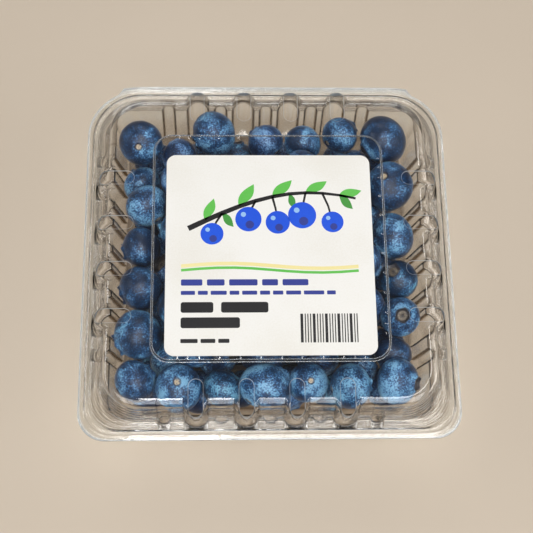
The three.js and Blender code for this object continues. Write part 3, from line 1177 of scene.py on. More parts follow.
        # The panel's step gets painted glints and painted shade, the wall painted shade along its folds
        for (outline, height), fold in zip(self.panel_rows(), (*self.panel_folds, 0.0)):
            loft.grow(outline.points(), height, [fold] * len(outline.points()))
        for outline, height, fold in wall:
            ribs = self.rib_fold if height < self.sizes.deck else 0.0
            loft.grow(outline.points(), height, [max(ribs * rib, fold) for rib in outline.folds()])
        foot, bead = wall[-1][0].points(), rim[0][0].points()
        steps = self.ridge_steps * self.ridges
        for k in range(1, steps):
            share = k / steps
            rise = self.ridge_rise * (0.5 - 0.5 * math.cos(math.tau * k / self.ridge_steps))
            level = blend_between(wall[-1][1], rim[0][1], share)
            # Painted shade on one ring of each ridge
            folds = [self.ridge_fold * (k % self.ridge_steps == self.ridge_steps // 2)] * len(foot)
            loft.grow(points_between(foot, bead, share), level + rise, folds)
        for outline, height in rim:
            loft.grow(outline.points(), height)
        # Painted glint on the rim's outer edge
        loft.mark_edge(self.sizes.edge_glint)
        return loft.sheet(middle_faces_up=True)

    def cut_vents(
        self, lid: bpy.types.Object, plastic: bpy.types.Material, cut_edge: bpy.types.Material,
    ) -> None:
        """Cuts the sixteen slots and rounds their upper edges.

        Args:
            lid: The thick lid, which gains the second finish.
            plastic: The sheet's finish.
            cut_edge: The finish of the vents' cut edges.
        """
        self.merge_deck(lid)
        cutter = mesh_object(self.vent_cutter(), "vent_cutter", plastic)
        for piece in (lid, cutter):
            piece.data.materials.append(cut_edge)
        cut = lid.modifiers.new("vents", "BOOLEAN")
        cut.object = cutter
        cut.operation = "DIFFERENCE"
        cut.solver = "EXACT"
        apply_modifiers(lid)
        bpy.data.objects.remove(cutter)
        self.round_vents(lid)

    def build(self, plastic: bpy.types.Material, cut_edge: bpy.types.Material) -> bpy.types.Object:
        """The lid as one thin closed shell with its vents cut.

        Args:
            plastic: The sheet's finish.
            cut_edge: The finish of the vents' cut edges.

        Returns:
            The lid.
        """
        lid = mesh_object(self.sheet(), "lid_shell", plastic)
        thicken(lid, self.sizes.sheet)
        self.cut_vents(lid, plastic, cut_edge)
        lid.data.shade_smooth()
        lid.data.set_sharp_from_angle(angle=self.sharp_angle)
        weigh_normals(lid)
        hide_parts("lid")
        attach(lid, Body.LID.value)
        return lid


@dataclass(frozen=True)
class HingeFilm:
    """The thin web of plastic that joins the two rims along the back."""

    sizes: BoxSizes
    half_width: float = 45 * MM
    depth: float = 0.4 * MM
    steps: int = 6
    columns: int = 18

    def build(self, plastic: bpy.types.Material) -> bpy.types.Object:
        """The film, which follows the tub at its lower edge and the lid at its upper one.

        Args:
            plastic: The sheet's finish.

        Returns:
            The film.
        """
        rim = self.sizes.rim(self.sizes.rim_half, (), self.sizes.hinge_lip)
        low = self.sizes.rim_height - self.sizes.sheet / 2
        high = self.sizes.rim_height + self.sizes.shut_gap + self.sizes.sheet / 2
        film = bmesh.new()
        places = [self.half_width * (2 * k / self.columns - 1) for k in range(self.columns + 1)]
        verts = [film.verts.new((x, 0.0, low)) for x in places]
        edges = [film.edges.new(pair) for pair in zip(verts, verts[1:])]
        for vert in verts:
            vert.co.y = rim.lip_reach(vert.co.x) - self.depth
        for k in range(1, self.steps + 1):
            turn = math.pi * k / self.steps
            grown = bmesh.ops.extrude_edge_only(film, edges=edges)["geom"]
            fresh = set(only(grown, bmesh.types.BMVert))
            for vert in fresh:
                bow = (self.depth - self.sizes.sheet / 2) * math.sin(turn)
                vert.co.y = rim.lip_reach(vert.co.x) - self.depth + bow
                vert.co.z = (low + high) / 2 - (high - low) / 2 * math.cos(turn)
            edges = [edge for edge in only(grown, bmesh.types.BMEdge) if fresh.issuperset(edge.verts)]
        bmesh.ops.recalc_face_normals(film, faces=film.faces)
        bmesh.ops.solidify(film, geom=film.faces, thickness=self.sizes.sheet / 2)
        bmesh.ops.recalc_face_normals(film, faces=film.faces)
        piece = mesh_object(film, "hinge_film", plastic)
        edge = rim.lip_reach(0.0)
        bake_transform(piece)
        return piece


# The label


class Ink(Enum):
    """The inks of the label's print."""

    BLACK = "black"
    BLUE = "blue"
    NAVY = "navy"
    SKY = "sky"
    GREEN = "green"
    LEAF = "leaf"
    SUN = "sun"


INK_COLOURS: dict[Ink, tuple[Colour, Colour]] = {
    Ink.BLACK: ((0.012, 0.011, 0.012), (0.018, 0.017, 0.018)),
    Ink.BLUE: ((0.010, 0.085, 0.700), (0.014, 0.105, 0.760)),
    Ink.NAVY: ((0.030, 0.045, 0.270), (0.036, 0.055, 0.310)),
    Ink.SKY: ((0.300, 0.520, 0.850), (0.340, 0.560, 0.880)),
    Ink.GREEN: ((0.120, 0.520, 0.080), (0.150, 0.570, 0.100)),
    Ink.LEAF: ((0.060, 0.300, 0.050), (0.075, 0.340, 0.060)),
    Ink.SUN: ((0.880, 0.760, 0.340), (0.900, 0.800, 0.400)),
}


@dataclass
class Label:
    """The paper label on the lid's panel, with a plain print of a branch, bars and stripes."""

    sizes: BoxSizes
    half_x: float = 30.6 * MM
    half_y: float = 31.15 * MM
    corner: float = 2.8 * MM
    offset_y: float = -2.8 * MM
    foot: float = 34.5 * MM
    thickness: float = 0.27 * MM
    ink_thickness: float = 0.015 * MM
    paper_colours: tuple[Colour, Colour] = ((0.885, 0.865, 0.820), (0.825, 0.795, 0.725))
    ink_roughness: float = 0.35
    sharp_angle: float = math.radians(30)
    weld: float = 1e-7
    print_seed: int = 7

    # The layout, in millimetres about the label's middle: leaves and fruits start from points of the stem
    LEFT = -26
    POINTS = 11
    STEM_LEFT, STEM_STEP, STEM_FOOT, STEM_RISE, STEM_CURL, STEM_LIFT = -24, 5.0, 7.5, 9.0, 2.4, 0.35
    STEM_WIDTH, STEM_TAPER = 1.7, 0.1
    STALK = ((0.0, 0.0, 0.7), (0.6, 0.45, 0.6), (1.0, 1.0, 0.5))
    SPOTS = ((Ink.NAVY, 0.1, -0.45, 0.32), (Ink.SKY, -0.38, 0.38, 0.2))
    LEAVES = (
        (Ink.GREEN, 0.20, ((1, 70, 7.5), (3, 58, 8.5), (5, 42, 8.0), (7, 30, 7.5), (9, 12, 7.0))),
        (Ink.LEAF, 0.22, ((2, -52, 5.5), (6, -70, 5.0), (9, -48, 6.0))),
    )
    FRUITS = (
        (2, -3.0, -6.5, 3.4),
        (4, -2.2, -5.8, 3.9),
        (5, 1.5, -8.2, 3.6),
        (7, -1.2, -7.2, 4.2),
        (8, 2.8, -9.2, 3.3),
    )
    LEAF_STEPS = 10
    LEAF_POWERS = (0.8, 1.15)
    DISC_STEPS = 32
    WAVES = ((Ink.SUN, -4.2, 1.1), (Ink.GREEN, -5.5, 0.8))
    WAVE_STEP, WAVE_HEIGHT, WAVE_RATE = 5.2, 0.8, 0.6
    BAR_LENGTHS = (2.2, 5.5)
    BAR_GAP, BAR_ROUND = 0.7, 0.2
    WORD_ROWS = (
        (Ink.NAVY, -10.2, 38, 1.9),
        (Ink.NAVY, -13.0, 45, 1.2),
        (Ink.BLACK, -18.4, 30, 3.2),
        (Ink.BLACK, -23.0, 20, 3.2),
        (Ink.BLACK, -27.4, 14, 1.2),
    )
    STRIPES = (8.5, -27.4, 19, 8.6)
    WIDE_STRIPE, THIN_STRIPE, STRIPE_GAP = 0.8, 0.32, 0.45

    def __post_init__(self) -> None:
        """Starts one mesh for each ink."""
        self.inks = {ink: bmesh.new() for ink in Ink}
        self.draws = random.Random(self.print_seed)

    def _raise(self, ink: Ink, face: bmesh.types.BMFace, level: int = 0) -> None:
        """Turns a flat face, drawn in millimetres about the label's middle, into a film of ink.

        Args:
            ink: The ink.
            face: The face in that ink's mesh.
            level: How many prints lie under this one.
        """
        mesh = self.inks[ink]
        foot = self.foot + self.thickness + level * self.ink_thickness / 2
        bmesh.ops.recalc_face_normals(mesh, faces=[face])
        if face.normal.z < 0:
            bmesh.ops.reverse_faces(mesh, faces=[face])
        place = Matrix.Translation((0, self.offset_y, foot)) @ Matrix.Scale(MM, 4)
        verts = list(face.verts)
        bmesh.ops.transform(mesh, matrix=place, verts=verts)
        kept = bmesh.ops.duplicate(mesh, geom=[face])["geom"]
        bmesh.ops.reverse_faces(mesh, faces=only(kept, bmesh.types.BMFace))
        grown = bmesh.ops.extrude_face_region(mesh, geom=[face])["geom"]
        bmesh.ops.translate(mesh, verts=only(grown, bmesh.types.BMVert), vec=(0, 0, self.ink_thickness))
        bmesh.ops.delete(mesh, geom=[face], context="FACES_ONLY")
        bmesh.ops.remove_doubles(mesh, verts=mesh.verts, dist=self.weld)

    def shape(self, ink: Ink, points: list[Point], level: int = 0) -> None:
        """Prints a filled outline in millimetres about the label's middle."""
        mesh = self.inks[ink]
        self._raise(ink, mesh.faces.new([mesh.verts.new((x, y, 0)) for x, y in points]), level)

    def disc(self, ink: Ink, x: float, y: float, radius: float, level: int = 0) -> None:
        """Prints a round spot."""
        turns = [math.tau * k / self.DISC_STEPS for k in range(self.DISC_STEPS)]
        self.shape(ink, [(x + radius * math.cos(t), y + radius * math.sin(t)) for t in turns], level)

    def bar(self, ink: Ink, x: float, y: float, width: float, height: float, round_share: float) -> None:
        """Prints a bar with rounded ends, from its lower left corner.

        Args:
            ink: The ink.
            x: The corner's place across.
            y: The corner's place up.
            width: The bar's width.
            height: The bar's height.
            round_share: The ends' radius as a share of the height.
        """
        radius = round_share * height
        middles = [(width - radius, height - radius), (radius, height - radius),
                   (radius, radius), (width - radius, radius)]
        points = []
        for quarter, (mx, my) in enumerate(middles):
            for k in range(4):
                turn = QUARTER * (quarter + k / 3)
                points.append((x + mx + radius * math.cos(turn), y + my + radius * math.sin(turn)))
        self.shape(ink, points)

    def leaf(self, ink: Ink, x: float, y: float, length: float, width: float, degrees: float) -> None:
        """Prints a pointed leaf that starts at a point and runs off at an angle.

        Args:
            ink: The ink.
            x: The start's place across.
            y: The start's place up.
            length: The leaf's length.
            width: Half the leaf's width.
            degrees: The angle, counter-clockwise from the right.
        """
        turn = math.radians(degrees)
        shares = [k / self.LEAF_STEPS for k in range(self.LEAF_STEPS + 1)]
        blunt, slim = self.LEAF_POWERS
        upper = [(length * s, width * math.sin(math.pi * s ** blunt)) for s in shares]
        lower = [(length * s, -width * math.sin(math.pi * s ** slim)) for s in shares[-2:0:-1]]
        cos, sin = math.cos(turn), math.sin(turn)
        self.shape(ink, [(x + u * cos - v * sin, y + u * sin + v * cos) for u, v in upper + lower])

    def stroke(self, ink: Ink, points: list[Point], widths: list[float]) -> None:
        """Prints a line of changing width through points.

        Args:
            ink: The ink.
            points: The points.
            widths: The line's width at each point.
        """
        left, right = [], []
        for k, (x, y) in enumerate(points):
            before, after = points[max(k - 1, 0)], points[min(k + 1, len(points) - 1)]
            along = Vector((after[0] - before[0], after[1] - before[1])).normalized()
            half = widths[k] / 2
            left.append((x - along.y * half, y + along.x * half))
            right.append((x + along.y * half, y - along.x * half))
        self.shape(ink, left + right[::-1])

    def word_row(self, ink: Ink, x: float, y: float, width: float, height: float) -> None:
        """Prints a row of short bars, as a plain stand-in for a line of print.

        Args:
            ink: The ink.
            x: The row's left end.
            y: The row's foot.
            width: The row's width.
            height: The bars' height.
        """
        at = x
        while at < x + width - height:
            length = min(self.draws.uniform(*self.BAR_LENGTHS) * height, x + width - at)
            self.bar(ink, at, y, length, height, self.BAR_ROUND)
            at += length + self.BAR_GAP * height

    def branch(self) -> None:
        """Prints a berry branch: a curved stem with leaves and round berries."""
        steps = range(self.POINTS)
        bends = [math.sin(k / (self.POINTS - 1) * self.STEM_CURL) for k in steps]
        rises = [self.STEM_FOOT + self.STEM_RISE * bends[k] + self.STEM_LIFT * k for k in steps]
        stem = [(self.STEM_LEFT + self.STEM_STEP * k, rises[k]) for k in steps]
        self.stroke(Ink.BLACK, stem, [self.STEM_WIDTH - self.STEM_TAPER * k for k in steps])
        for ink, width, leaves in self.LEAVES:
            for k, lean, length in leaves:
                self.leaf(ink, *stem[k], length, length * width, lean)
        for k, dx, dy, radius in self.FRUITS:
            x, y = stem[k]
            stalk = [(x + dx * across, y + dy * down) for across, down, _ in self.STALK]
            self.stroke(Ink.BLACK, stalk, [width for _, _, width in self.STALK])
            self.disc(Ink.BLUE, x + dx, y + dy, radius, 1)
            for ink, right, up, size in self.SPOTS:
                self.disc(ink, x + dx + right * radius, y + dy + up * radius, size * radius, 2)

    def stripes(self, x: float, y: float, count: int, height: float) -> None:
        """Prints a block of even upright stripes, every fourth of them wide.

        Args:
            x: The block's left end.
            y: The block's foot.
            count: How many stripes it has.
            height: The stripes' height.
        """
        at = x
        for k in range(count):
            stripe = self.THIN_STRIPE if k % 4 else self.WIDE_STRIPE
            self.bar(Ink.BLACK, at, y, stripe, height, 0.0)
            at += stripe + self.STRIPE_GAP

    def draw(self) -> None:
        """Lays the whole print out."""
        self.branch()
        for ink, y, width in self.WAVES:
            heights = [y + self.WAVE_HEIGHT * math.sin(self.WAVE_RATE * k) for k in range(self.POINTS)]
            wave = [(self.LEFT + self.WAVE_STEP * k, height) for k, height in enumerate(heights)]
            self.stroke(ink, wave, [width] * self.POINTS)
        for ink, y, width, height in self.WORD_ROWS:
            self.word_row(ink, self.LEFT, y, width, height)
        self.stripes(*self.STRIPES)

    def build(self) -> list[bpy.types.Object]:
        """The paper and one thin piece for each ink.

        Returns:
            The pieces.
        """
        outline = Outline(self.half_x, self.half_y, self.corner, self.corner)
        paper = bmesh.new()
        corners = [paper.verts.new((x, y + self.offset_y, self.foot)) for x, y in outline.points()]
        face = paper.faces.new(corners)
        grown = bmesh.ops.extrude_face_region(paper, geom=[face])["geom"]
        bmesh.ops.translate(paper, verts=only(grown, bmesh.types.BMVert), vec=(0, 0, self.thickness))
        bmesh.ops.recalc_face_normals(paper, faces=paper.faces)
        cream = CoatedPaper("label_paper", *self.paper_colours)
        sheet = mesh_object(paper, "label_sheet", cream.material())
        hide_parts("label")
        pieces = [sheet]
        self.draw()
        for ink, mesh in self.inks.items():
            finish = CoatedPaper(f"ink_{ink.value}", *INK_COLOURS[ink], roughness=self.ink_roughness)
            pieces.append(mesh_object(mesh, f"print_{ink.value}", finish.material()))
        for piece in pieces:
            piece.data.set_sharp_from_angle(angle=self.sharp_angle)
            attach(piece, Body.LID.value)
        return pieces


# The berries


@dataclass(frozen=True)
class Viewpoint:
    """Where the camera stands and how it is turned."""

    place: tuple[float, float, float] = (-13.8 * MM, -112.0 * MM, 344.9 * MM)
    pitch: float = math.radians(71.2)
    yaw: float = -0.121
    roll: float = 0.112
    sensor: float = 36.0
    focal_pixels: float = 1119.4
    frame_pixels: float = 533.0
    clip_start: float = 10 * MM

    @cached_property
    def axes(self) -> tuple[Vector, Vector, Vector]:
        """The camera's right, up and back directions.

        Returns:
            The three directions.
        """
        level = Vector((-math.sin(self.yaw), math.cos(self.yaw), 0.0))
        right = Vector((math.cos(self.yaw), math.sin(self.yaw), 0.0))
        ahead = level * math.cos(self.pitch) - Vector((0.0, 0.0, math.sin(self.pitch)))
        up = right.cross(ahead)
        cos, sin = math.cos(self.roll), math.sin(self.roll)
        return right * cos + up * sin, up * cos - right * sin, -ahead

    def facing(self, right: float, up: float) -> Vector:
        """The direction of a spot on a ball, seen at right and up as shares of its radius.

        Args:
            right: The spot's place to the right.
            up: The spot's place upwards.

        Returns:
            The direction from the ball's middle.
        """
        towards = math.sqrt(max(0.0, 1 - right * right - up * up))
        across, above, back = self.axes
        return (across * right + above * up + back * towards).normalized()

    def build(self) -> None:
        """Makes the camera."""
        data = bpy.data.cameras.new("camera")
        data.sensor_width = self.sensor
        data.lens = self.focal_pixels * self.sensor / self.frame_pixels
        data.clip_start = self.clip_start
        camera = linked_object("camera", data)
        columns = Matrix(self.axes).transposed()
        camera.matrix_world = Matrix.Translation(self.place) @ columns.to_4x4()
        bpy.context.scene.camera = camera


@dataclass(frozen=True)
class ShownBerry:
    """A berry of the top layer that shows: its place against the rim and its look, in millimetres."""

    x: float
    y: float
    rise: float
    diameter: float
    bloom: float = 0.5
    mark: Mark = Mark.NONE
    at: Point = (0.0, 0.0)
    stretch: float = 1.0
    tone: float = 0.4


SHOWN_BERRIES = (
    ShownBerry(-39.1, 36.6, 0.4, 14.0, 0.14, Mark.SCAR, (-0.06, -0.29)),
    ShownBerry(-16.8, 40.6, 0.6, 14.8, 0.48),
    ShownBerry(-26.9, 34.6, -3.4, 11.8, 0.34, tone=0.8),
    ShownBerry(0.4, 39.2, -4.6, 11.6, 0.46, tone=0.8),
    ShownBerry(11.6, 38.3, -2.4, 12.4, 0.42),
    ShownBerry(23.4, 41.0, -0.6, 11.8, 0.40),
    ShownBerry(37.0, 38.6, 0.4, 15.6, 0.10),
    ShownBerry(38.0, 22.6, 0.8, 15.4, 0.26, Mark.SCAR, (-0.36, 0.42)),
    ShownBerry(38.3, 6.2, 0.6, 14.4, 0.46),
    ShownBerry(39.6, -7.2, -1.0, 12.0, 0.16, Mark.CALYX, (-0.42, 0.52), tone=0.0),
    ShownBerry(38.9, -19.2, -1.4, 11.8, 0.62, Mark.CALYX, (0.05, 0.12)),
    ShownBerry(37.6, -28.6, -6.4, 11.2, 0.12),
    ShownBerry(37.4, -39.4, 0.4, 13.6, 0.60, Mark.CALYX, (0.90, -0.05)),
    ShownBerry(23.4, -40.6, 0.8, 13.4, 0.68, tone=0.3),
    ShownBerry(10.9, -38.8, -1.2, 12.0, 0.60, Mark.SCAR, (0.15, 0.20)),
    ShownBerry(-1.4, -40.4, 0.8, 13.8, 0.64, stretch=1.14),
    ShownBerry(-14.2, -40.2, -3.2, 12.6, 0.46, tone=0.05),
    ShownBerry(-27.4, -40.4, 0.8, 14.0, 0.46, Mark.SCAR, (-0.02, 0.38)),
    ShownBerry(-39.4, -38.6, -0.6, 12.8, 0.44),
    ShownBerry(-38.4, -24.6, 0.6, 15.0, 0.34, tone=0.3),
    ShownBerry(-38.2, -9.9, 0.0, 13.8, 0.12),
    ShownBerry(-38.6, 3.4, -0.4, 12.8, 0.05),
    ShownBerry(-37.2, 15.9, 0.8, 13.4, 0.52),
    ShownBerry(-39.4, 26.2, -5.2, 12.0, 0.64),
)


@dataclass(frozen=True)
class Layer:
    """One layer of the loose grid that fills the tub, in millimetres."""

    columns: int
    rows: int
    half_x: float
    half_y: float
    height: float


class RepeatableDraws:
    """Random numbers from 0 to 1 that are the same in every language."""

    FACTOR = 16807
    MODULUS = 2147483647

    def __init__(self, seed: int) -> None:
        """Starts from a seed."""
        self.state = seed

    def next(self) -> float:
        """The next number."""
        self.state = (self.state * self.FACTOR) % self.MODULUS
        return self.state / self.MODULUS


@dataclass
class Ball:
    """A berry as the heap's rule sees it, in millimetres."""

    x: float
    y: float
    z: float
    r: float
    place: tuple[float, float, float] | None = None


@dataclass(frozen=True)
class HeapRule:
    """The rule that lays the berries, in millimetres, as the solid's own source does."""

    rim_height: float = 23
    lid_rise: float = 10.6
    wall: float = 0.5
    half_x: float = 47.6
    half_y: float = 49.6
    corner: float = 9
    draft: float = 0.2
    ledge: float = 0.5
    layers: tuple[Layer, ...] = (Layer(6, 6, 34, 37, 7.4), Layer(5, 5, 31, 34, 15), Layer(4, 5, 20, 25, 22))
    smallest: float = 11.4
    spread: float = 3.6
    jitter: float = 2.2
    rounds: int = 300
    drop: float = 0.05
    giving: float = 0.15
    returning: float = 0.05
    clearance: float = 0.35
    seed: int = 20217

    def start(self) -> list[Ball]:
        """The berries before they settle.

        Returns:
            The berries that show, then the loose ones.
        """
        draws = RepeatableDraws(self.seed)
        balls = []
        for b in SHOWN_BERRIES:
            place = (b.x, b.y, self.rim_height + b.rise)
            balls.append(Ball(*place, b.diameter / 2, place))
        for layer in self.layers:
            for row in range(layer.rows):
                for column in range(layer.columns):
                    across, along = 2 * column / (layer.columns - 1) - 1, 2 * row / (layer.rows - 1) - 1
                    x = layer.half_x * across + self.jitter * (draws.next() - 0.5)
                    y = layer.half_y * along + self.jitter * (draws.next() - 0.5)
                    z = layer.height + self.jitter * (draws.next() - 0.5)
                    balls.append(Ball(x, y, z, (self.smallest + self.spread * draws.next()) / 2))
        return balls

    def sink(self, ball: Ball) -> None:
        """Lets a loose berry sink, and moves one with a set place back towards it.

        Args:
            ball: The berry.
        """
        if ball.place:
            ball.x += (ball.place[0] - ball.x) * self.returning
            ball.y += (ball.place[1] - ball.y) * self.returning
            ball.z += (ball.place[2] - ball.z) * self.returning
        else:
            ball.z -= self.drop

    def separate(self, a: Ball, b: Ball) -> None:
        """Pushes two overlapping berries apart; one with a set place gives way less.

        Args:
            a: One berry.
            b: The other berry.
        """
        dx, dy, dz = b.x - a.x, b.y - a.y, b.z - a.z
        reach = a.r + b.r
        squared = dx * dx + dy * dy + dz * dz
        if squared >= reach * reach:
            return
        distance = math.sqrt(squared)
        push = (reach - distance) / distance
        share = 0.5
        if a.place and not b.place:
            share = self.giving
        elif b.place and not a.place:
            share = 1 - self.giving
        other = 1 - share
        a.x -= dx * push * share
        a.y -= dy * push * share
        a.z -= dz * push * share
        b.x += dx * push * other
        b.y += dy * push * other
        b.z += dz * push * other

    def contain(self, ball: Ball) -> None:
        """Keeps a berry off the floor, the leaning walls, their corners and the lid.

        Args:
            ball: The berry.
        """
        side = ball.r + self.wall + self.ledge + self.clearance
        low = ball.r + self.wall + self.clearance
        high = self.rim_height + self.lid_rise - self.wall - self.clearance - ball.r
        lean = self.draft * (self.rim_height - min(ball.z, self.rim_height))
        limit_x, limit_y = self.half_x - lean - side, self.half_y - lean - side
        ball.z = min(max(ball.z, low), high)
        ball.x = min(max(ball.x, -limit_x), limit_x)
        ball.y = min(max(ball.y, -limit_y), limit_y)
        room = max(self.corner - side, 0)
        past_x, past_y = abs(ball.x) - (limit_x - room), abs(ball.y) - (limit_y - room)
        past = math.sqrt(past_x * past_x + past_y * past_y)
        if past_x > 0 and past_y > 0 and past > room:
            back = 1 - room / past
            ball.x -= math.copysign(past_x * back, ball.x)
            ball.y -= math.copysign(past_y * back, ball.y)

    def settle(self) -> list[Ball]:
        """The berries at rest.

        Returns:
            The berries, in the order of start.
        """
        balls = self.start()
        for _ in range(self.rounds):
            for ball in balls:
                self.sink(ball)
            for i, a in enumerate(balls):
                for b in balls[i + 1:]:
                    self.separate(a, b)
            for ball in balls:
                self.contain(ball)
        return balls


@dataclass
class BerryForm:
    """One berry of radius 1 about the origin, its calyx at +Z and its stem scar at -Z."""

    flatness: float = 0.9
    crown_radius: float = 0.36
    segments: int = 30
    body_steps: int = 13
    body_start: float = 0.50
    body_end: float = 0.24
    weld: float = 1e-6

    # Radii over the calyx and over the scar, each with its rise above the plain body
    CALYX = (
        (0.0, -0.085), (0.06, -0.085), (0.10, -0.115), (0.20, -0.12), (0.27, -0.10),
        (0.31, -0.02), (0.335, 0.055), (0.365, 0.07), (0.395, 0.03), (0.43, 0.0),
    )
    SCAR = ((0.195, 0.008), (0.165, 0.0), (0.145, -0.045), (0.09, -0.06), (0.04, -0.05), (0.0, -0.05))

    def on_body(self, radius: float) -> float:
        """The height of the plain body at a radius."""
        return self.flatness * math.sqrt(1 - radius * radius)

    def profile(self) -> list[Point]:
        """Radius and height of the berry's rings, from the calyx to the scar.

        Returns:
            The rings.
        """
        points = [(radius, self.on_body(radius) + rise) for radius, rise in self.CALYX]
        first, last = math.asin(self.body_start), math.pi - math.asin(self.body_end)
        for k in range(self.body_steps + 1):
            angle = blend_between(first, last, k / self.body_steps)
            points.append((math.sin(angle), self.flatness * math.cos(angle)))
        return points + [(radius, -self.on_body(radius) - rise) for radius, rise in self.SCAR]

    def build(self) -> bmesh.types.BMesh:
        """The profile spun about Z, with its poles closed.

        Returns:
            The berry's bmesh.
        """
        form = bmesh.new()
        verts = [form.verts.new((r, 0.0, z)) for r, z in self.profile()]
        edges = [form.edges.new(pair) for pair in zip(verts, verts[1:])]
        bmesh.ops.spin(
            form, geom=verts + edges, cent=(0, 0, 0), axis=(0, 0, 1), angle=math.tau,
            steps=self.segments, use_merge=True,
        )
        bmesh.ops.remove_doubles(form, verts=form.verts, dist=self.weld)
        bmesh.ops.recalc_face_normals(form, faces=form.faces)
        return form

    def arrays(self) -> tuple[np.ndarray, list[list[int]]]:
        """The form's points and faces.

        Returns:
            An array of points, and each face's point numbers.
        """
        form = self.build()
        form.verts.index_update()
        points = np.array([vert.co for vert in form.verts])
        faces = [[vert.index for vert in face.verts] for face in form.faces]
        form.free()
        return points, faces


def soft_disc(radius: np.ndarray, kept: np.ndarray, edge: float, softness: float) -> np.ndarray:
    """A share that is full inside an edge, on the kept end of a berry."""
    return np.where(kept, np.clip((edge - radius) / softness, 0, 1), 0.0)


def soft_ring(radius: np.ndarray, kept: np.ndarray, middle: float, softness: float) -> np.ndarray:
    """A share that is full on a ring, on the kept end of a berry."""
    return np.where(kept, np.exp(-((radius - middle) / softness) ** 2), 0.0)


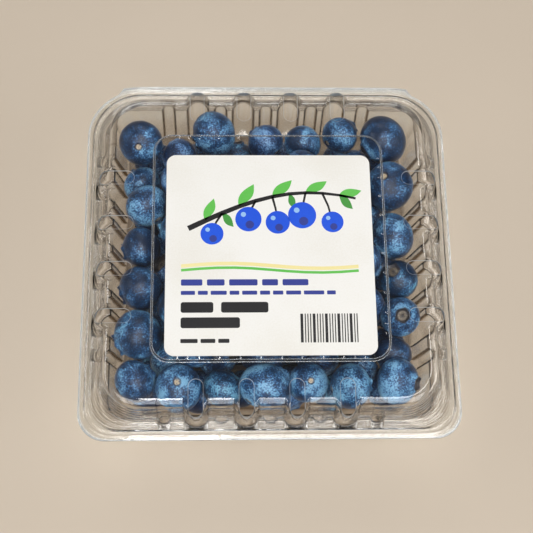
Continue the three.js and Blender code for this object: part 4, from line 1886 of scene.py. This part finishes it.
@dataclass
class BerryHeap:
    """All the berries of the punnet as one mesh, over a small core that never shows."""

    view: Viewpoint
    rule: HeapRule
    form: BerryForm
    shown_tilt: float = -0.12
    widest_tilt: float = 0.95
    lump_depth: float = 0.018
    lump_waves: int = 3
    crown_width: float = 0.055
    crown_sink: float = 0.02
    crown_reach: Point = (0.62, 0.25)
    lobes: int = 5
    lobe_power: float = 1.3
    halo_bloom: float = 0.28
    pattern_span: float = 500
    look_seed: int = 4107

    # Lowest and highest of what is drawn for each berry
    BLOOMS = (0.25, 0.60)
    LOBE_RISES = (0.02, 0.09)
    LOBE_FLARES = (0.05, 0.28)
    CROWN_SIZES = (0.78, 1.12)
    WAVE_RATES = (1.6, 3.4)
    PROPORTIONS = ((0.96, 1.03), (0.96, 1.03), (0.96, 1.04))

    # Radius and softness of each mark round the calyx and round the scar
    CALYX_HUSK, SCAR_HUSK, SCAR_HUSK_SHARE = (0.385, 0.05), (0.155, 0.02), 0.9
    SCAR_FLESH, CALYX_FLESH, CALYX_FLESH_SHARE = (0.135, 0.03), (0.16, 0.07), 0.45
    CALYX_HALO, SCAR_HALO = (0.50, 0.10), (0.23, 0.05)

    def _axis(self, index: int, draws: random.Random) -> Vector:
        """Where a berry's calyx points.

        Args:
            index: The berry's number in the heap.
            draws: The heap's random numbers.

        Returns:
            The direction.
        """
        turn = draws.uniform(0, math.tau)
        tilt = draws.uniform(-self.widest_tilt, self.widest_tilt)
        if index < len(SHOWN_BERRIES):
            shown = SHOWN_BERRIES[index]
            if shown.mark is not Mark.NONE:
                return self.view.facing(*shown.at) * shown.mark.value
            tilt = self.shown_tilt
        flat = math.sqrt(1 - tilt * tilt)
        return Vector((flat * math.cos(turn), flat * math.sin(turn), tilt))

    def _shaped(self, points: np.ndarray, draws: random.Random) -> np.ndarray:
        """The form with a crown, lumps and proportions of its own.

        Args:
            points: The plain form's points.
            draws: The heap's random numbers.

        Returns:
            The points of one berry of radius 1.
        """
        shaped = points.copy()
        radius = np.hypot(points[:, 0], points[:, 1])
        around = np.arctan2(points[:, 1], points[:, 0])
        top = points[:, 2] > 0
        crown = soft_ring(radius, top, self.form.crown_radius, self.crown_width)
        lobe = (0.5 + 0.5 * np.cos(self.lobes * around)) ** self.lobe_power
        rise, flare = draws.uniform(*self.LOBE_RISES), draws.uniform(*self.LOBE_FLARES)
        shaped[:, 2] += crown * (lobe * rise - self.crown_sink)
        size = draws.uniform(*self.CROWN_SIZES)
        near = soft_disc(radius, top, *self.crown_reach)
        shaped[:, :2] *= (1 + near * (size - 1) + crown * lobe * flare)[:, None]
        for _ in range(self.lump_waves):
            wave = Vector([draws.gauss(0, 1) for _ in range(3)]).normalized()
            wave *= draws.uniform(*self.WAVE_RATES)
            lump = self.lump_depth * np.cos(points @ np.array(wave) + draws.uniform(0, math.tau))
            shaped *= (1 + lump)[:, None]
        return shaped * np.array([draws.uniform(*span) for span in self.PROPORTIONS])

    def masks(self, points: np.ndarray) -> dict[str, np.ndarray]:
        """How much each point is husk, dry flesh or in the bloomed ring round an end.

        Args:
            points: The plain form's points.

        Returns:
            A share for each point, under each name.
        """
        radius = np.hypot(points[:, 0], points[:, 1])
        top, end = points[:, 2] > 0, points[:, 2] < -0.5
        husk_ring = soft_ring(radius, end, *self.SCAR_HUSK) * self.SCAR_HUSK_SHARE
        flesh_ring = soft_ring(radius, top, *self.CALYX_FLESH) * self.CALYX_FLESH_SHARE
        halo_rings = soft_ring(radius, top, *self.CALYX_HALO), soft_ring(radius, end, *self.SCAR_HALO)
        return {
            "husk": np.maximum(soft_disc(radius, top, *self.CALYX_HUSK), husk_ring),
            "flesh": np.maximum(soft_disc(radius, end, *self.SCAR_FLESH), flesh_ring),
            "halo": np.maximum(*halo_rings),
        }

    def build(self, skin: bpy.types.Material) -> bpy.types.Object:
        """Every berry in its place, with its own look.

        Args:
            skin: The berries' finish.

        Returns:
            The heap.
        """
        form, faces = self.form.arrays()
        masks = self.masks(form)
        draws = random.Random(self.look_seed)
        places, skins, joined = [], [], []
        looks = {name: [] for name in ("bloom", "tone", "husk", "flesh")}
        for index, ball in enumerate(self.rule.settle()):
            shown = SHOWN_BERRIES[index] if index < len(SHOWN_BERRIES) else None
            bloom = draws.uniform(*self.BLOOMS)
            tone = draws.uniform(0.0, 1.0)
            axis = self._axis(index, draws)
            shaped = self._shaped(form, draws)
            spin = Matrix.Rotation(draws.uniform(0, math.tau), 3, "Z")
            turn = axis.to_track_quat("Z", "Y").to_matrix() @ spin
            turned = shaped @ np.array(turn).T * ball.r
            if shown:
                bloom, tone = shown.bloom, shown.tone
                turned[:, 0] *= shown.stretch
            joined += [[corner + index * len(form) for corner in face] for face in faces]
            places.append((turned + np.array([ball.x, ball.y, ball.z])) * MM)
            drift = np.array([draws.uniform(0, self.pattern_span) for _ in range(3)])
            skins.append(shaped * ball.r + drift)
            looks["bloom"].append(bloom + self.halo_bloom * masks["halo"])
            looks["tone"].append(np.full(len(form), tone))
            looks["husk"].append(masks["husk"])
            looks["flesh"].append(masks["flesh"])
        data = bpy.data.meshes.new("berry_heap")
        data.from_pydata(np.concatenate(places).tolist(), [], joined)
        self._write(data, "skin", "FLOAT_VECTOR", "vector", np.concatenate(skins))
        for name, values in looks.items():
            self._write(data, name, "FLOAT", "value", np.concatenate(values))
        data.materials.append(skin)
        data.shade_smooth()
        heap = linked_object("berry_heap", data)
        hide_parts("berries")
        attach(heap, Body.BASE.value)
        return heap

    @staticmethod
    def _write(data: bpy.types.Mesh, name: str, kind: str, field_name: str, values: np.ndarray) -> None:
        """Stores values for each point of a mesh."""
        layer = data.attributes.new(name, kind, "POINT")
        layer.data.foreach_set(field_name, values.astype(np.float32).ravel())


@dataclass(frozen=True)
class HeapCore:
    """A small dark block in the middle of the heap, which stops light from below."""

    half_x: float = 29 * MM
    half_y: float = 31 * MM
    low: float = 8.5 * MM
    high: float = 14.5 * MM
    edge_radius: float = 2 * MM
    edge_steps: int = 4

    def build(self, skin: bpy.types.Material) -> bpy.types.Object:
        """The block with rounded edges.

        Args:
            skin: Its finish, which never shows.

        Returns:
            The block.
        """
        block = bmesh.new()
        made = bmesh.ops.create_cube(block, size=1.0)
        size = Matrix.Diagonal((2 * self.half_x, 2 * self.half_y, self.high - self.low, 1.0))
        lift = Matrix.Translation((0, 0, (self.low + self.high) / 2))
        bmesh.ops.transform(block, matrix=lift @ size, verts=made["verts"])
        bmesh.ops.bevel(
            block, geom=block.edges[:], offset=self.edge_radius, segments=self.edge_steps,
            profile=0.5, affect="EDGES", material=-1,
        )
        core = mesh_object(block, "heap_core", skin)
        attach(core, Body.BASE.value)
        return core


# The studio


@dataclass(frozen=True)
class Softbox:
    """A soft lamp: where its middle is, what it looks at, its size and its radiance."""

    name: str
    place: tuple[float, float, float]
    target: tuple[float, float, float]
    width: float
    depth: float
    radiance: float

    def build(self) -> None:
        """Makes the lamp."""
        data = bpy.data.lights.new(self.name, "AREA")
        data.shape = "RECTANGLE"
        data.size, data.size_y = self.width, self.depth
        data.energy = self.radiance * math.pi * self.width * self.depth
        lamp = linked_object(self.name, data)
        back = (Vector(self.place) - Vector(self.target)).normalized()
        across = Vector((0.0, 1.0, 0.0)).cross(back).normalized()
        turn = Matrix((across, back.cross(across), back)).transposed()
        lamp.matrix_world = Matrix.Translation(self.place) @ turn.to_4x4()


@dataclass(frozen=True)
class Studio:
    """A plain pale floor, an even sky and soft lamps."""

    floor_half: float = 1.5
    floor_drop: float = 0.05 * MM
    floor_colour: Colour = (0.61, 0.515, 0.41)
    floor_shade: Colour = (0.56, 0.47, 0.37)
    floor_roughness: float = 0.6
    floor_scale: float = 9
    sky: float = 0.10
    lamps: tuple[Softbox, ...] = (
        Softbox("main", (0.0, -0.65, 1.05), (0.0, 0.0, 0.0), 1.7, 0.85, 2.6),
        Softbox("front_glare", (-0.066, -0.07, 1.05), (-0.066, -0.07, 0.0), 0.12, 0.30, 9.0),
        Softbox("front_wash", (0.14, -0.08, 1.05), (0.14, -0.08, 0.0), 0.28, 0.28, 4.8),
        Softbox("corner_glare", (0.33, 0.05, 1.05), (0.33, 0.05, 0.0), 0.09, 0.16, 4.4),
        Softbox("right_wash", (0.37, 0.34, 1.05), (0.37, 0.34, 0.0), 0.12, 0.40, 5.0),
        Softbox("back_glare", (-0.07, 0.72, 1.05), (-0.07, 0.72, 0.0), 0.16, 0.08, 7.0),
        Softbox("back", (-0.1, 0.95, 0.75), (0.0, 0.0, 0.02), 0.9, 0.2, 3.2),
        Softbox("side", (0.95, -0.2, 0.5), (0.0, 0.0, 0.02), 0.2, 0.5, 4.8),
        Softbox("left", (-0.95, 0.1, 0.6), (0.0, 0.0, 0.02), 0.2, 0.6, 3.6),
    )

    def build(self) -> None:
        """Makes the floor, the sky and the lamps."""
        ground = bmesh.new()
        bmesh.ops.create_grid(ground, x_segments=1, y_segments=1, size=self.floor_half)
        bmesh.ops.translate(ground, verts=ground.verts, vec=(0, 0, -self.floor_drop))
        book = NodeBook("floor")
        place = book.add("TexCoord").outputs["Object"]
        cloud = book.noise(place, self.floor_scale, 4)
        colour = book.mixed(cloud, self.floor_colour, self.floor_shade)
        surface = book.add("BsdfPrincipled", {"Base Color": colour, "Roughness": self.floor_roughness})
        mesh_object(ground, "floor", book.finish(surface.outputs[0]))
        world = bpy.data.worlds.new("sky")
        world.use_nodes = True
        sky = world.node_tree.nodes["Background"].inputs["Color"]
        sky.default_value = (self.sky, self.sky, self.sky, 1.0)
        bpy.context.scene.world = world
        for lamp in self.lamps:
            lamp.build()
        bpy.context.scene.view_settings.view_transform = "Standard"


def main() -> None:
    """Builds the camera, the box, the label, the berries and the studio."""
    view = Viewpoint()
    view.build()
    sizes = BoxSizes()
    report(Tub(sizes).build(ClearPlastic("clear_tub").material()))
    lid_plastic = ClearPlastic("clear_lid").material()
    report(Lid(sizes).build(lid_plastic, CutEdge().material()))
    report(HingeFilm(sizes).build(lid_plastic))
    for piece in Label(sizes).build():
        report(piece)
    skin = BerrySkin().material()
    report(BerryHeap(view, HeapRule(), BerryForm()).build(skin))
    report(HeapCore().build(skin))
    Studio().build()


if __name__ == "__main__":
    main()
